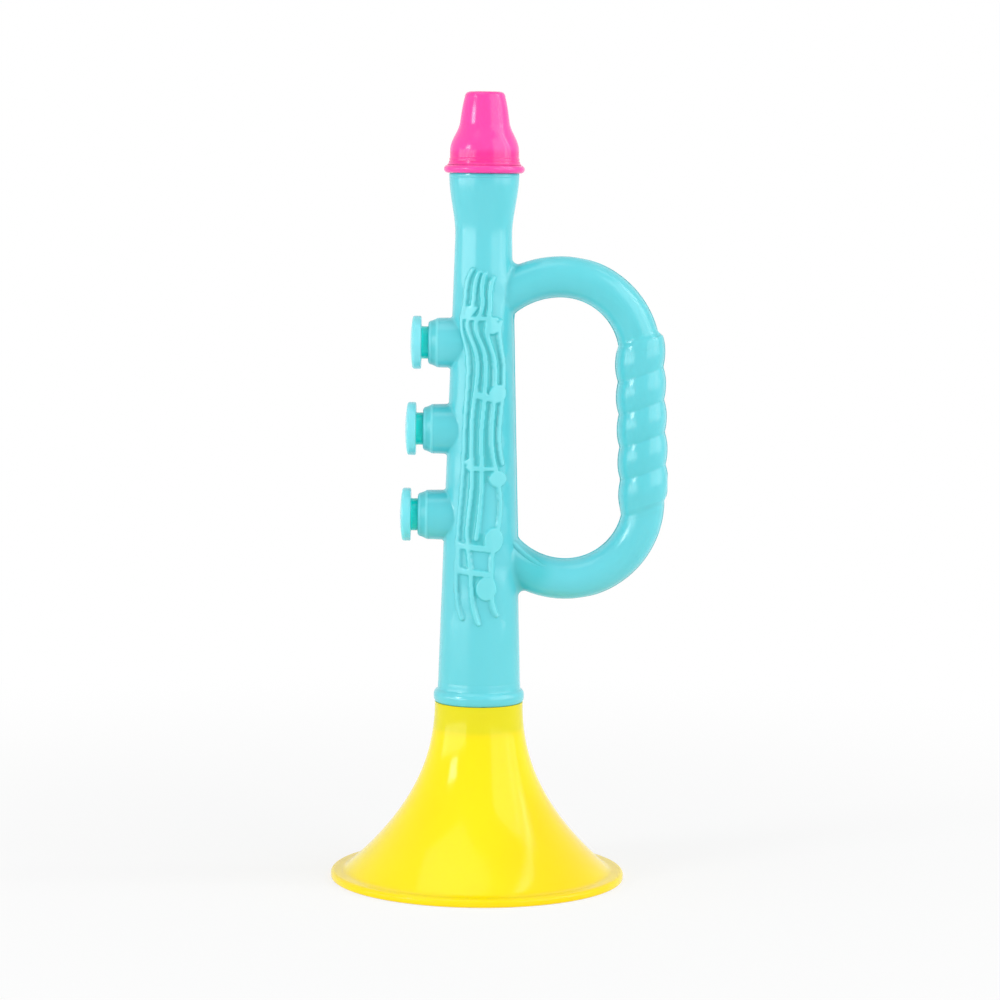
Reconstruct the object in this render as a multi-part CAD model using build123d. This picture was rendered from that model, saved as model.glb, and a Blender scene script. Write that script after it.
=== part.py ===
"""Toy trumpet that stands on its bell: a hollow body in two half shells with a D handle,
three sprung finger buttons, a flared bell, a mouthpiece and the reed inside it.

Millimetres. +Z runs up the trumpet's axis, the origin is the centre of the bell's rim plane,
+X points to the handle and -Y to the front, which carries the raised music pattern.
"""

import os
from math import cos, hypot, radians, sin, sqrt

from build123d import *

# Driving dimensions of the whole trumpet
overall_height = 168.0
bell_rim_diameter = 63.0
bell_length = 38.2
bell_neck_step = 0.2
bell_wall = 1.2

# Bell lip, a bead round the rim
lip_width = 2.9
lip_thickness = 1.7
lip_upper_edge_radius = 0.8
lip_lower_edge_radius = 0.35

# The flare grows as a power of its height share, which gives the slow start and wide end of a bell
flare_power = 2.21
flare_height_shares = (0.17, 0.32, 0.48, 0.64, 0.80, 0.92)

# Body tube, from the bell ring up to the mouthpiece
tube_foot_diameter = 17.6
tube_throat_diameter = 12.06
tube_top_diameter = 14.8
tube_wall = 1.3
throat_drop = 13.4
tube_top_edge_radius = 0.7

# Ring moulded round the body's foot, against which the bell's neck butts
ring_rim = 0.85
ring_height = 2.6
ring_edge_radius = 0.9
ring_fillet = 1.0

# Spigots that the bell and the mouthpiece push over
push_fit_clearance = 0.05
bell_spigot_length = 6.0
spigot_wall = 1.2
mouth_spigot_length = 4.4
mouth_spigot_diameter = 12.5

# Mouthpiece
mouthpiece_length = 17.1
mouth_wall = 1.15
mouth_flange_diameter = 17.1
mouth_flange_thickness = 1.7
mouth_flange_fillet = 0.6
mouth_dome_diameter = 15.1
mouth_neck_diameter = 11.0
mouth_tip_diameter = 9.5
mouth_dome_height = 4.6
mouth_neck_height = 10.6
mouth_tip_radius = 1.1
blow_hole_diameter = 6.0
shoulder_ledge = 0.7

# Handle: a round bar bent to a D, with a ridged grip; it stands on the tube at two shares of the
# body's length
handle_bar_diameter = 8.6
handle_wall = 1.3
handle_top_share = 0.8084
handle_top_reach = 16.6
handle_top_radius = 16.9
handle_top_root_radius = 19.9
handle_foot_share = 0.236
handle_foot_reach = 18.0
handle_foot_radius = 16.7
handle_foot_root_radius = 17.9
handle_root_depth = 2.0
handle_root_fillet = 1.2

# Grip ridges: barrels that run round the bar at a slant, crisp in the valleys between them, along
# the bar's straight run and a little past it
ridge_count = 5
valley_rise = 0.42
ridge_rise = 0.52
grip_top_overhang = 2.6
grip_foot_overhang = 1.2
ridge_slant = 17.0
ridge_arch_shares = (-0.5, -0.3, 0, 0.3, 0.5)

# Locating pins inside the handle, which line the two shells up
pin_diameter = 2.0
pin_length = 1.8
pin_post_diameter = 3.8
pin_clearance = 0.06
pin_end_gap = 0.3

# Finger buttons and their casings, up the body at shares of its length; each casing stands a
# little further out than the one above it
button_height_shares = (0.6815, 0.5187, 0.3558)
casing_stand = 4.8
casing_stand_step = 0.43
casing_root_flare = 0.25
casing_taper_length = 1.5
casing_taper = 0.65
casing_end_radius = 0.7
casing_root_fillet = 0.5
casing_wall = 1.1
casing_end_wall = 1.2
button_gap = 1.5
head_rim = 2.2
head_thickness = 1.9
head_crown = 0.45
head_outer_edge_radius = 0.5
head_inner_edge_radius = 0.3
stem_diameter = 6.9
stem_clearance = 0.1
collar_lip = 0.58
collar_thickness = 1.0
collar_clearance = 0.15
nub_length = 0.8
nub_clearance = 0.35
spring_room = 2.95
spring_wire_diameter = 0.35
spring_coil_clearance = 0.5
spring_turns = 3
spring_end_gap = 0.04

# Raised music pattern on the front: a wavy stave with its notes laid across it. Each place is a
# share of the pattern's half width, right of the axis, and of its length, up from its foot
pattern_foot_margin = 16.8
pattern_top_margin = 19.9
pattern_half_width = 5.0
pattern_rise = 0.3
stave_line_width = 0.6
stave_shares = (
    (
        (-0.39, 1.000), (-0.66, 0.954), (-0.73, 0.901), (-0.86, 0.850), (-0.64, 0.779), (-0.56, 0.704),
        (-0.64, 0.612), (-0.70, 0.513), (-0.76, 0.401), (-0.89, 0.289), (-0.96, 0.158), (-0.90, 0.066),
        (-0.72, 0.022),
    ),
    (
        (-0.16, 0.992), (-0.35, 0.934), (-0.42, 0.892), (-0.60, 0.849), (-0.30, 0.778), (-0.19, 0.709),
        (-0.33, 0.621), (-0.41, 0.533), (-0.36, 0.434), (-0.44, 0.342), (-0.54, 0.270), (-0.48, 0.213),
        (-0.38, 0.151), (-0.32, 0.086), (-0.22, 0.046), (-0.03, 0.009),
    ),
    (
        (0.09, 0.988), (-0.03, 0.934), (-0.06, 0.882), (-0.27, 0.846), (0.03, 0.779), (0.14, 0.709),
        (0.11, 0.638), (0.00, 0.546), (0.03, 0.434), (0.00, 0.362), (-0.07, 0.303), (-0.18, 0.245),
    ),
    (
        (0.46, 0.978), (0.30, 0.934), (0.28, 0.882), (0.19, 0.820), (0.44, 0.763), (0.53, 0.711),
        (0.46, 0.605), (0.40, 0.539), (0.52, 0.464), (0.75, 0.386), (0.80, 0.322), (0.66, 0.257),
        (0.49, 0.201), (0.48, 0.151), (0.51, 0.076), (0.72, 0.033),
    ),
    (
        (0.75, 0.858), (0.68, 0.822), (0.74, 0.784), (0.85, 0.737), (0.86, 0.684), (0.78, 0.612),
        (0.72, 0.539), (0.75, 0.500), (0.88, 0.454),
    ),
)
note_stem_shares = (
    ((-0.78, 0.867), (0.62, 0.864), (0.62, 0.856), (-0.78, 0.859)),
    ((-0.70, 0.870), (-0.62, 0.895), (-0.20, 0.892), (-0.42, 0.870)),
    ((-0.22, 0.658), (0.66, 0.643), (0.66, 0.628), (-0.26, 0.643)),
    ((-0.66, 0.463), (-0.42, 0.476), (-0.33, 0.461), (-0.46, 0.449)),
    ((-0.62, 0.452), (0.66, 0.448), (0.66, 0.440), (-0.52, 0.442)),
    ((-0.92, 0.238), (0.42, 0.228), (0.42, 0.214), (-0.86, 0.223)),
    ((-0.92, 0.238), (-0.81, 0.236), (-0.83, 0.158), (-0.92, 0.155)),
    ((-0.92, 0.169), (0.38, 0.156), (0.40, 0.144), (-0.90, 0.153)),
)
note_head_shares = (
    (0.40, 0.838, 0.24, 0.0177), (0.65, 0.654, 0.32, 0.0223), (0.68, 0.417, 0.33, 0.0210),
    (0.55, 0.246, 0.35, 0.0328), (0.26, 0.111, 0.39, 0.0309),
)

# Reed and its holder
holder_flange_thickness = 1.0
holder_flange_clearance = 0.15
holder_plug_length = 5.0
holder_plug_clearance = 0.03
shallot_diameter = 5.2
shallot_tip_gap = 1.95
shallot_flat_offset = 0.6
shallot_tip_wall = 1.0
shallot_bore_diameter = 2.6
slot_width = 1.8
slot_foot = 2.2
slot_tip_margin = 1.4
reed_thickness = 0.15
reed_width = 3.4
reed_tip_margin = 0.7
reed_tip_lift = 0.55
clip_height = 1.5
clip_wall = 0.8
clip_clearance = 0.03

# Cuts run past the faces that they open by this much
overrun = 2.0

os.makedirs("parts", exist_ok=True)

tube_top_height = overall_height - mouthpiece_length
throat_height = tube_top_height - throat_drop
ring_top = bell_length + ring_height
tube_foot_height = ring_top + ring_fillet
body_length = tube_top_height - bell_length
spigot_foot = bell_length - bell_spigot_length
ring_radius = tube_foot_diameter / 2 + ring_rim
bell_neck_radius = ring_radius - bell_neck_step
bell_socket_radius = bell_neck_radius - bell_wall
bell_spigot_radius = bell_socket_radius - push_fit_clearance
mouth_spigot_top = tube_top_height + mouth_spigot_length
mouth_spigot_radius = mouth_spigot_diameter / 2
mouth_spigot_bore_radius = mouth_spigot_radius - spigot_wall
handle_top_height = bell_length + handle_top_share * body_length
handle_foot_height = bell_length + handle_foot_share * body_length
button_heights = [bell_length + share * body_length for share in button_height_shares]
collar_radius = stem_diameter / 2 + collar_lip
chamber_radius = collar_radius + collar_clearance
casing_radius = chamber_radius + casing_wall
spring_coil_radius = chamber_radius - spring_coil_clearance - collar_lip
pattern_foot_height = bell_length + pattern_foot_margin
pattern_length = tube_top_height - pattern_top_margin - pattern_foot_height
shallot_length = (
    mouthpiece_length - mouth_wall - mouth_spigot_length - holder_flange_thickness - shallot_tip_gap
)


def tube_radius(height):
    """Outer radius of the body's straight cone at a height."""
    share = (height - tube_foot_height) / (throat_height - tube_foot_height)
    return (tube_foot_diameter + share * (tube_throat_diameter - tube_foot_diameter)) / 2


def casing_reach(index):
    """How far a casing's end face stands from the trumpet's axis."""
    return tube_radius(button_heights[index]) + casing_stand + index * casing_stand_step


def flare_point(share, inset):
    """Point of the bell's flare at a share of its height, moved in square to the wall."""
    lip_inner = bell_rim_diameter / 2 - lip_width
    height = bell_length - lip_thickness
    growth = lip_inner - bell_neck_radius
    radius = bell_neck_radius + growth * share**flare_power
    slope = growth * flare_power * share ** (flare_power - 1) / height
    length = hypot(1, slope)
    return (radius - inset / length, bell_length - height * share - inset * slope / length)


def make_bell():
    """Flared bell with a socket at its neck and a bead round its rim."""
    rim = bell_rim_diameter / 2
    outer = [flare_point(s, 0) for s in (0, *flare_height_shares, 1)]
    inner = [flare_point(s, bell_wall) for s in flare_height_shares[1:]]
    lip_inner = rim - lip_width
    with BuildPart() as bell:
        with BuildSketch(Plane.XZ):
            with BuildLine():
                Polyline(
                    (bell_socket_radius, spigot_foot), (bell_socket_radius, bell_length),
                    (bell_neck_radius, bell_length),
                )
                Spline(*outer)
                Line((lip_inner, lip_thickness), (rim - lip_upper_edge_radius, lip_thickness))
                CenterArc(
                    (rim - lip_upper_edge_radius, lip_thickness - lip_upper_edge_radius), lip_upper_edge_radius, 90, -90
                )
                Line((rim, lip_thickness - lip_upper_edge_radius), (rim, lip_lower_edge_radius))
                CenterArc((rim - lip_lower_edge_radius, lip_lower_edge_radius), lip_lower_edge_radius, 0, -90)
                Line((rim - lip_lower_edge_radius, 0), (lip_inner, 0))
                Spline((lip_inner, 0), *reversed(inner), (bell_socket_radius, spigot_foot))
            make_face()
        revolve(axis=Axis.Z)
    return bell.part


def body_outline():
    """Half outline of the body's outside, axis to skin, with both spigots."""
    foot, throat, top = tube_foot_diameter / 2, tube_throat_diameter / 2, tube_top_diameter / 2
    ring = ring_radius
    bend = tube_top_edge_radius
    cone = (tube_radius(throat_height) - tube_radius(tube_foot_height)) / (throat_height - tube_foot_height)
    with BuildSketch(Plane.XZ) as outline:
        with BuildLine():
            Polyline(
                (0, spigot_foot), (bell_spigot_radius, spigot_foot), (bell_spigot_radius, bell_length),
                (ring - ring_edge_radius, bell_length),
            )
            CenterArc((ring - ring_edge_radius, bell_length + ring_edge_radius), ring_edge_radius, -90, 90)
            Line((ring, bell_length + ring_edge_radius), (ring, ring_top - ring_edge_radius))
            CenterArc((ring - ring_edge_radius, ring_top - ring_edge_radius), ring_edge_radius, 0, 90)
            TangentArc((ring - ring_edge_radius, ring_top), (foot, tube_foot_height), tangent=(-1, 0))
            Line((foot, tube_foot_height), (throat, throat_height))
            Spline(
                (throat, throat_height), (top, tube_top_height - bend),
                tangents=((cone, 1), (0, 1)), tangent_scalars=(1, 1),
            )
            CenterArc((top - bend, tube_top_height - bend), bend, 0, 90)
            Polyline(
                (top - bend, tube_top_height), (mouth_spigot_radius, tube_top_height),
                (mouth_spigot_radius, mouth_spigot_top), (0, mouth_spigot_top), (0, spigot_foot),
            )
        make_face()
    return outline.sketch


def bore_outline():
    """Half outline of the air passage through the body, run past both ends."""
    foot, throat = tube_foot_diameter / 2 - tube_wall, tube_throat_diameter / 2 - tube_wall
    top = mouth_spigot_bore_radius
    cone = (throat - foot) / (throat_height - tube_foot_height)
    spigot_bore = bell_spigot_radius - spigot_wall
    with BuildSketch(Plane.XZ) as outline:
        with BuildLine():
            Polyline(
                (0, spigot_foot - overrun), (spigot_bore, spigot_foot - overrun), (spigot_bore, bell_length),
                (foot, tube_foot_height), (throat, throat_height),
            )
            Spline(
                (throat, throat_height), (top, tube_top_height),
                tangents=((cone, 1), (0, 1)), tangent_scalars=(1, 1),
            )
            Polyline(
                (top, tube_top_height), (top, mouth_spigot_top + overrun),
                (0, mouth_spigot_top + overrun), (0, spigot_foot - overrun),
            )
        make_face()
    return outline.sketch


def bend_centres():
    """Centres of the handle's upper and lower bends."""
    top = Vector(handle_top_reach, 0, handle_top_height - handle_top_radius)
    foot = Vector(handle_foot_reach, 0, handle_foot_height + handle_foot_radius)
    return top, foot


def root_drop(reach, radius):
    """How far a root arc of the handle turns back over its run to the tube."""
    return radius - sqrt(radius**2 - (reach - handle_root_depth) ** 2)


def handle_path():
    """Centreline of the handle's bar, from inside the tube at the top round to inside it below."""
    top_centre, foot_centre = bend_centres()
    span = top_centre - foot_centre
    lean = (handle_foot_radius - handle_top_radius) / span.length
    up = span.normalized()
    out = up * lean + Vector(up.Z, 0, -up.X) * sqrt(1 - lean**2)
    grip_top = top_centre + out * handle_top_radius
    grip_foot = foot_centre + out * handle_foot_radius
    half = sin(radians(45))
    top = top_centre + Vector(0, 0, handle_top_radius)
    foot = foot_centre - Vector(0, 0, handle_foot_radius)
    top_root = Vector(
        handle_root_depth, 0, handle_top_height - root_drop(handle_top_reach, handle_top_root_radius)
    )
    foot_root = Vector(
        handle_root_depth, 0, handle_foot_height + root_drop(handle_foot_reach, handle_foot_root_radius)
    )
    edges = [
        TangentArc(top, top_root, tangent=(-1, 0, 0)),
        ThreePointArc(top, top_centre + Vector(half, 0, half) * handle_top_radius, grip_top),
        Line(grip_top, grip_foot),
        ThreePointArc(grip_foot, foot_centre + Vector(half, 0, -half) * handle_foot_radius, foot),
        TangentArc(foot, foot_root, tangent=(-1, 0, 0)),
    ]
    grip = grip_foot - grip_top
    return Wire(edges), grip_top, grip.normalized(), grip.length


def handle_bar(diameter):
    """Round bar of one diameter along the handle's centreline."""
    path = handle_path()[0]
    start = path @ 0
    section = Plane(origin=start, z_dir=path % 0) * Circle(diameter / 2)
    return sweep(section, path=path)


def make_grip():
    """Row of slanting barrel ridges on the handle's straight run."""
    _, grip_top, down, run = handle_path()
    side = Vector(-down.Z, 0, down.X)
    slant = radians(ridge_slant)
    normal = down * cos(slant) + side * sin(slant)
    across = side * cos(slant) - down * sin(slant)
    pitch = (grip_top_overhang + run + grip_foot_overhang) / ridge_count
    grip = Part()
    for ridge in range(ridge_count):
        sections = []
        for share in ridge_arch_shares:
            radius = handle_bar_diameter / 2 + valley_rise + ridge_rise * (1 - (2 * share) ** 2)
            place = grip_top + down * ((ridge + 1 / 2 + share) * pitch - grip_top_overhang)
            section = Plane(origin=place, x_dir=across, z_dir=normal)
            sections.append(section * Ellipse(radius / cos(slant), radius))
        grip += loft(sections)
    return grip


def on_casing(shape, index):
    """Places a shape that is drawn from the trumpet's axis along +Z onto one button's line."""
    return Plane(origin=(0, 0, button_heights[index]), x_dir=(0, 0, 1), z_dir=(-1, 0, 0)) * shape


def turned(points_and_arcs):
    """Body turned about Z from a half outline in the XZ plane."""
    return revolve(make_face(points_and_arcs), axis=Axis.Z)


def casing(index):
    """Outside of one button casing, from the tube's axis out to its end face."""
    reach = casing_reach(index)
    edge = casing_radius - casing_taper
    end = edge - casing_end_radius
    bend = reach - casing_end_radius
    side = Polyline(
        (end, 0, reach), (0, 0, reach), (0, 0, 0), (casing_radius + casing_root_flare, 0, 0),
        (casing_radius, 0, bend - casing_taper_length), (edge, 0, bend),
    )
    round_over = TangentArc((end, 0, reach), (edge, 0, bend), tangent=(1, 0, 0))
    return on_casing(turned(side.edges() + [round_over]), index)


def casing_room(index):
    """Hollow of one casing: the chamber for collar and spring and the hole for the stem."""
    reach = casing_reach(index)
    chamber_top = reach - casing_end_wall
    chamber_foot = chamber_top - collar_thickness - spring_room
    chamber = Pos(0, 0, chamber_foot) * Cylinder(
        chamber_radius, chamber_top - chamber_foot, align=(Align.CENTER, Align.CENTER, Align.MIN)
    )
    hole = Pos(0, 0, chamber_foot) * Cylinder(
        stem_diameter / 2 + stem_clearance, reach + overrun - chamber_foot,
        align=(Align.CENTER, Align.CENTER, Align.MIN),
    )
    return on_casing(chamber + hole, index)


def pin_places():
    """Where the shells' locating pins stand in the handle: both bends and the middle of the grip."""
    _, grip_top, down, run = handle_path()
    top_centre, foot_centre = bend_centres()
    half = sin(radians(45))
    return (
        top_centre + Vector(half, 0, half) * handle_top_radius,
        grip_top + down * (run / 2),
        foot_centre + Vector(half, 0, -half) * handle_foot_radius,
    )


def along_y(diameter, start, end):
    """Cylinder along Y between two heights of Y, centred on the axis."""
    turned_plane = Plane(origin=(0, start, 0), x_dir=(1, 0, 0), z_dir=(0, 1, 0))
    return turned_plane * Cylinder(
        diameter / 2, end - start, align=(Align.CENTER, Align.CENTER, Align.MIN)
    )


def pattern_point(share):
    """Place on the front, across and up, of a point of the raised pattern."""
    return (share[0] * pattern_half_width, pattern_foot_height + share[1] * pattern_length)


def make_pattern():
    """Raised stave and notes, wrapped on the front of the tube and rooted in its wall."""
    marks = []
    for line in stave_shares:
        points = [pattern_point(share) for share in line]
        half = stave_line_width / 2
        left = Spline(*[(x - half, z) for x, z in points])
        right = Spline(*[(x + half, z) for x, z in points])
        marks.append(make_face([left, Line(left @ 1, right @ 1), right, Line(right @ 0, left @ 0)]))
    for quad in note_stem_shares:
        corners = [pattern_point(share) for share in quad]
        marks.append(make_face(Polyline(*corners, close=True)))
    for across, up, half_width, half_height in note_head_shares:
        x, z = pattern_point((across, up))
        marks.append(Pos(x, z) * Ellipse(half_width * pattern_half_width, half_height * pattern_length))
    stamp = extrude(Plane.XZ * (Sketch() + marks), amount=tube_foot_diameter)
    foot = pattern_foot_height - stave_line_width
    top = pattern_foot_height + pattern_length + stave_line_width
    foot_radius, top_radius = tube_radius(foot), tube_radius(top)
    band = make_face(
        Polyline(
            (foot_radius - tube_wall / 2, 0, foot), (foot_radius + pattern_rise, 0, foot),
            (top_radius + pattern_rise, 0, top), (top_radius - tube_wall / 2, 0, top), close=True,
        )
    )
    return stamp & revolve(band, axis=Axis.Z)


def root_edges(body, side, low, high):
    """Edges where a branch on one side of the tube (+1 or -1) leaves it between two heights."""
    edges = []
    for edge in body.edges():
        box = edge.bounding_box()
        near, far = sorted((side * box.min.X, side * box.max.X))
        if near > 0 and far < tube_foot_diameter / 2 and box.min.Z > low and box.max.Z < high:
            edges.append(edge)
    return edges


def make_shells():
    """The hollow body, split on its mould line into a front and a back shell."""
    skin = revolve(body_outline(), axis=Axis.Z)
    bar = handle_bar(handle_bar_diameter)
    hollow = handle_bar(handle_bar_diameter - 2 * handle_wall)
    outside = skin + bar
    for height in (handle_top_height, handle_foot_height):
        roots = root_edges(outside, 1, height - 2 * handle_bar_diameter, height + 2 * handle_bar_diameter)
        outside = fillet(roots, handle_root_fillet)
    for index, height in enumerate(button_heights):
        outside += casing(index)
        roots = root_edges(outside, -1, height - 2 * casing_radius, height + 2 * casing_radius)
        outside = fillet(roots, casing_root_fillet)
    outside += make_grip()
    posts = Part()
    for place in pin_places():
        posts += Location(place) * along_y(
            pin_post_diameter, -handle_bar_diameter / 2 + handle_wall / 2, handle_bar_diameter / 2 - handle_wall / 2
        )
    body = outside - (hollow - skin - posts)
    body -= revolve(bore_outline(), axis=Axis.Z)
    for index in range(len(button_heights)):
        body -= casing_room(index)
    front = split(body, bisect_by=Plane.XZ, keep=Keep.TOP) + make_pattern()
    back = split(body, bisect_by=Plane.XZ, keep=Keep.BOTTOM)
    for place in pin_places():
        front += Location(place) * along_y(pin_diameter, -pin_length, pin_length)
        back -= Location(place) * along_y(
            pin_diameter + 2 * pin_clearance, -overrun, pin_length + pin_end_gap
        )
    return front, back


def make_button():
    """Finger button, one piece: crowned head, stem, collar and the nub that centres its spring."""
    stem = stem_diameter / 2
    head = stem + head_rim
    collar = collar_radius
    nub = spring_coil_radius - spring_wire_diameter - nub_clearance
    collar_foot = -casing_end_wall - collar_thickness
    rim_top = button_gap + head_thickness
    outline = (
        Polyline(
            (0, 0, rim_top + head_crown), (0, 0, collar_foot - nub_length), (nub, 0, collar_foot - nub_length),
            (nub, 0, collar_foot), (collar, 0, collar_foot), (collar, 0, -casing_end_wall),
            (stem, 0, -casing_end_wall), (stem, 0, button_gap), (head - head_inner_edge_radius, 0, button_gap),
        ).edges()
        + [
            TangentArc(
                (head - head_inner_edge_radius, 0, button_gap), (head, 0, button_gap + head_inner_edge_radius),
                tangent=(1, 0, 0),
            ),
            Line((head, 0, button_gap + head_inner_edge_radius), (head, 0, rim_top - head_outer_edge_radius)),
            TangentArc(
                (head, 0, rim_top - head_outer_edge_radius), (head - head_outer_edge_radius, 0, rim_top),
                tangent=(0, 0, 1),
            ),
            TangentArc(
                (0, 0, rim_top + head_crown), (head - head_outer_edge_radius, 0, rim_top), tangent=(1, 0, 0)
            ),
        ]
    )
    return turned(outline)


def make_spring():
    """Return spring, drawn from its seat upwards."""
    wire = spring_wire_diameter / 2
    low = wire + spring_end_gap
    height = spring_room - 2 * low
    path = Pos(0, 0, low) * Helix(
        pitch=height / spring_turns, height=height, radius=spring_coil_radius - wire
    )
    section = Plane(origin=path @ 0, z_dir=path % 0) * Circle(wire)
    return sweep(section, path=path, is_frenet=True)


def make_mouthpiece():
    """Mouthpiece shell: flange, domed skirt, neck and tip, hollow over the reed."""
    base = tube_top_height
    flange = mouth_flange_diameter / 2
    round_over = mouth_flange_thickness / 2
    dome, neck, tip = mouth_dome_diameter / 2, mouth_neck_diameter / 2, mouth_tip_diameter / 2
    dome_top, neck_foot = base + mouth_dome_height, base + mouth_neck_height
    cone = (tip - neck) / (overall_height - mouth_tip_radius - neck_foot)
    socket = mouth_spigot_radius + push_fit_clearance
    ledge = socket - shoulder_ledge
    shoulder = mouth_spigot_top + holder_flange_thickness
    hole = blow_hole_diameter / 2
    outline = (
        Polyline(
            (socket, 0, shoulder), (socket, 0, base), (flange - round_over, 0, base),
        ).edges()
        + [
            ThreePointArc(
                (flange - round_over, 0, base), (flange, 0, base + round_over),
                (flange - round_over, 0, base + mouth_flange_thickness),
            ),
            Line(
                (flange - round_over, 0, base + mouth_flange_thickness),
                (dome + mouth_flange_fillet, 0, base + mouth_flange_thickness),
            ),
            TangentArc(
                (dome + mouth_flange_fillet, 0, base + mouth_flange_thickness),
                (dome, 0, base + mouth_flange_thickness + mouth_flange_fillet),
                tangent=(-1, 0, 0),
            ),
            Line((dome, 0, base + mouth_flange_thickness + mouth_flange_fillet), (dome, 0, dome_top)),
            Spline(
                (dome, 0, dome_top), (neck, 0, neck_foot),
                tangents=((0, 0, 1), (cone, 0, 1)), tangent_scalars=(1.2, 1.0),
            ),
            Line((neck, 0, neck_foot), (tip, 0, overall_height - mouth_tip_radius)),
            TangentArc(
                (tip, 0, overall_height - mouth_tip_radius), (tip - mouth_tip_radius, 0, overall_height),
                tangent=(cone, 0, 1),
            ),
            Line((tip - mouth_tip_radius, 0, overall_height), (hole, 0, overall_height)),
            Line((hole, 0, overall_height), (hole, 0, overall_height - mouth_wall)),
            Line((hole, 0, overall_height - mouth_wall), (neck - mouth_wall, 0, neck_foot)),
            Spline(
                (neck - mouth_wall, 0, neck_foot), (ledge, 0, shoulder),
                tangents=((0, 0, -1), (0, 0, -1)), tangent_scalars=(1.0, 1.0),
            ),
            Line((ledge, 0, shoulder), (socket, 0, shoulder)),
        ]
    )
    return turned(outline)


def make_reed_holder():
    """Reed holder: flange trapped over the spigot, plug below it and slotted half-round shallot above."""
    flange_radius = mouth_spigot_radius + push_fit_clearance - holder_flange_clearance
    top = mouth_spigot_top + holder_flange_thickness
    low = (Align.CENTER, Align.CENTER, Align.MIN)
    holder = Pos(0, 0, mouth_spigot_top) * Cylinder(flange_radius, holder_flange_thickness, align=low)
    holder += Pos(0, 0, mouth_spigot_top - holder_plug_length) * Cylinder(
        mouth_spigot_bore_radius - holder_plug_clearance, holder_plug_length, align=low
    )
    stub = Cylinder(shallot_diameter / 2, shallot_length, align=low)
    stub -= Pos(0, -shallot_flat_offset, 0) * Box(
        shallot_diameter, shallot_diameter, shallot_length, align=(Align.CENTER, Align.MAX, Align.MIN)
    )
    holder += Pos(0, 0, top) * stub
    bore_y = (shallot_diameter / 2 - shallot_flat_offset) / 2
    bore_top = top + shallot_length - shallot_tip_wall
    bore_foot = mouth_spigot_top - holder_plug_length - overrun
    holder -= Pos(0, bore_y, bore_foot) * Cylinder(shallot_bore_diameter / 2, bore_top - bore_foot, align=low)
    slot_length = shallot_length - slot_foot - slot_tip_margin
    holder -= Pos(0, bore_y, top + slot_foot) * Box(
        slot_width, shallot_diameter, slot_length, align=(Align.CENTER, Align.MAX, Align.MIN)
    )
    return holder


def make_reed_tongue():
    """Thin reed strip: flat under the clip, then curling off the slot."""
    top = mouth_spigot_top + holder_flange_thickness
    back = -shallot_flat_offset
    bend = top + clip_height
    tip = top + shallot_length - reed_tip_margin
    rear = TangentArc((0, back, bend), (0, back - reed_tip_lift, tip), tangent=(0, 0, 1))
    front = TangentArc(
        (0, back - reed_thickness, bend), (0, back - reed_tip_lift - reed_thickness, tip), tangent=(0, 0, 1)
    )
    outline = [
        Line((0, back, top), (0, back, bend)), rear,
        Line((0, back - reed_tip_lift, tip), (0, back - reed_tip_lift - reed_thickness, tip)), front,
        Line((0, back - reed_thickness, bend), (0, back - reed_thickness, top)),
        Line((0, back - reed_thickness, top), (0, back, top)),
    ]
    return extrude(make_face(outline), amount=reed_width / 2, both=True)


def make_reed_clip():
    """Ring that grips the reed's foot against the shallot's flat."""
    top = mouth_spigot_top + holder_flange_thickness
    low = (Align.CENTER, Align.CENTER, Align.MIN)
    inner = shallot_diameter / 2 + clip_clearance
    ring = Cylinder(inner + clip_wall, clip_height, align=low)
    hole = Cylinder(inner, clip_height, align=low)
    hole -= Pos(0, -shallot_flat_offset - reed_thickness - clip_clearance, 0) * Box(
        2 * inner, 2 * inner, clip_height, align=(Align.CENTER, Align.MAX, Align.MIN)
    )
    return Pos(0, 0, top) * (ring - hole)


def save(shape, name):
    """Writes one sub-part's STEP file."""
    export_step(shape, f"parts/{name}.step")


front_shell, back_shell = make_shells()
save(front_shell, "front_shell")
save(back_shell, "back_shell")
save(make_bell(), "bell")
save(make_mouthpiece(), "mouthpiece")
save(make_reed_holder(), "reed_holder")
save(make_reed_tongue(), "reed_tongue")
save(make_reed_clip(), "reed_clip")
for index, name in enumerate(("upper", "middle", "lower")):
    reach = casing_reach(index)
    save(on_casing(Pos(0, 0, reach) * make_button(), index), f"{name}_button")
    seat = reach - casing_end_wall - collar_thickness - spring_room
    save(on_casing(Pos(0, 0, seat) * make_spring(), index), f"{name}_spring")
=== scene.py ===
"""Dresses the toy trumpet: moulded plastic pieces, their finishes, and a pale studio round them.

Metres. +Z runs up the trumpet's axis from the bell's rim plane, +X points to the handle and -Y to
the front. Sizes of the pieces are written in millimetres and turned into metres by MM.
"""

import itertools
import logging
import math
from dataclasses import dataclass, replace
from enum import Enum

import bpy
import numpy as np
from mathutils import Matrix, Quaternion, Vector
from mathutils.bvhtree import BVHTree


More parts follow.
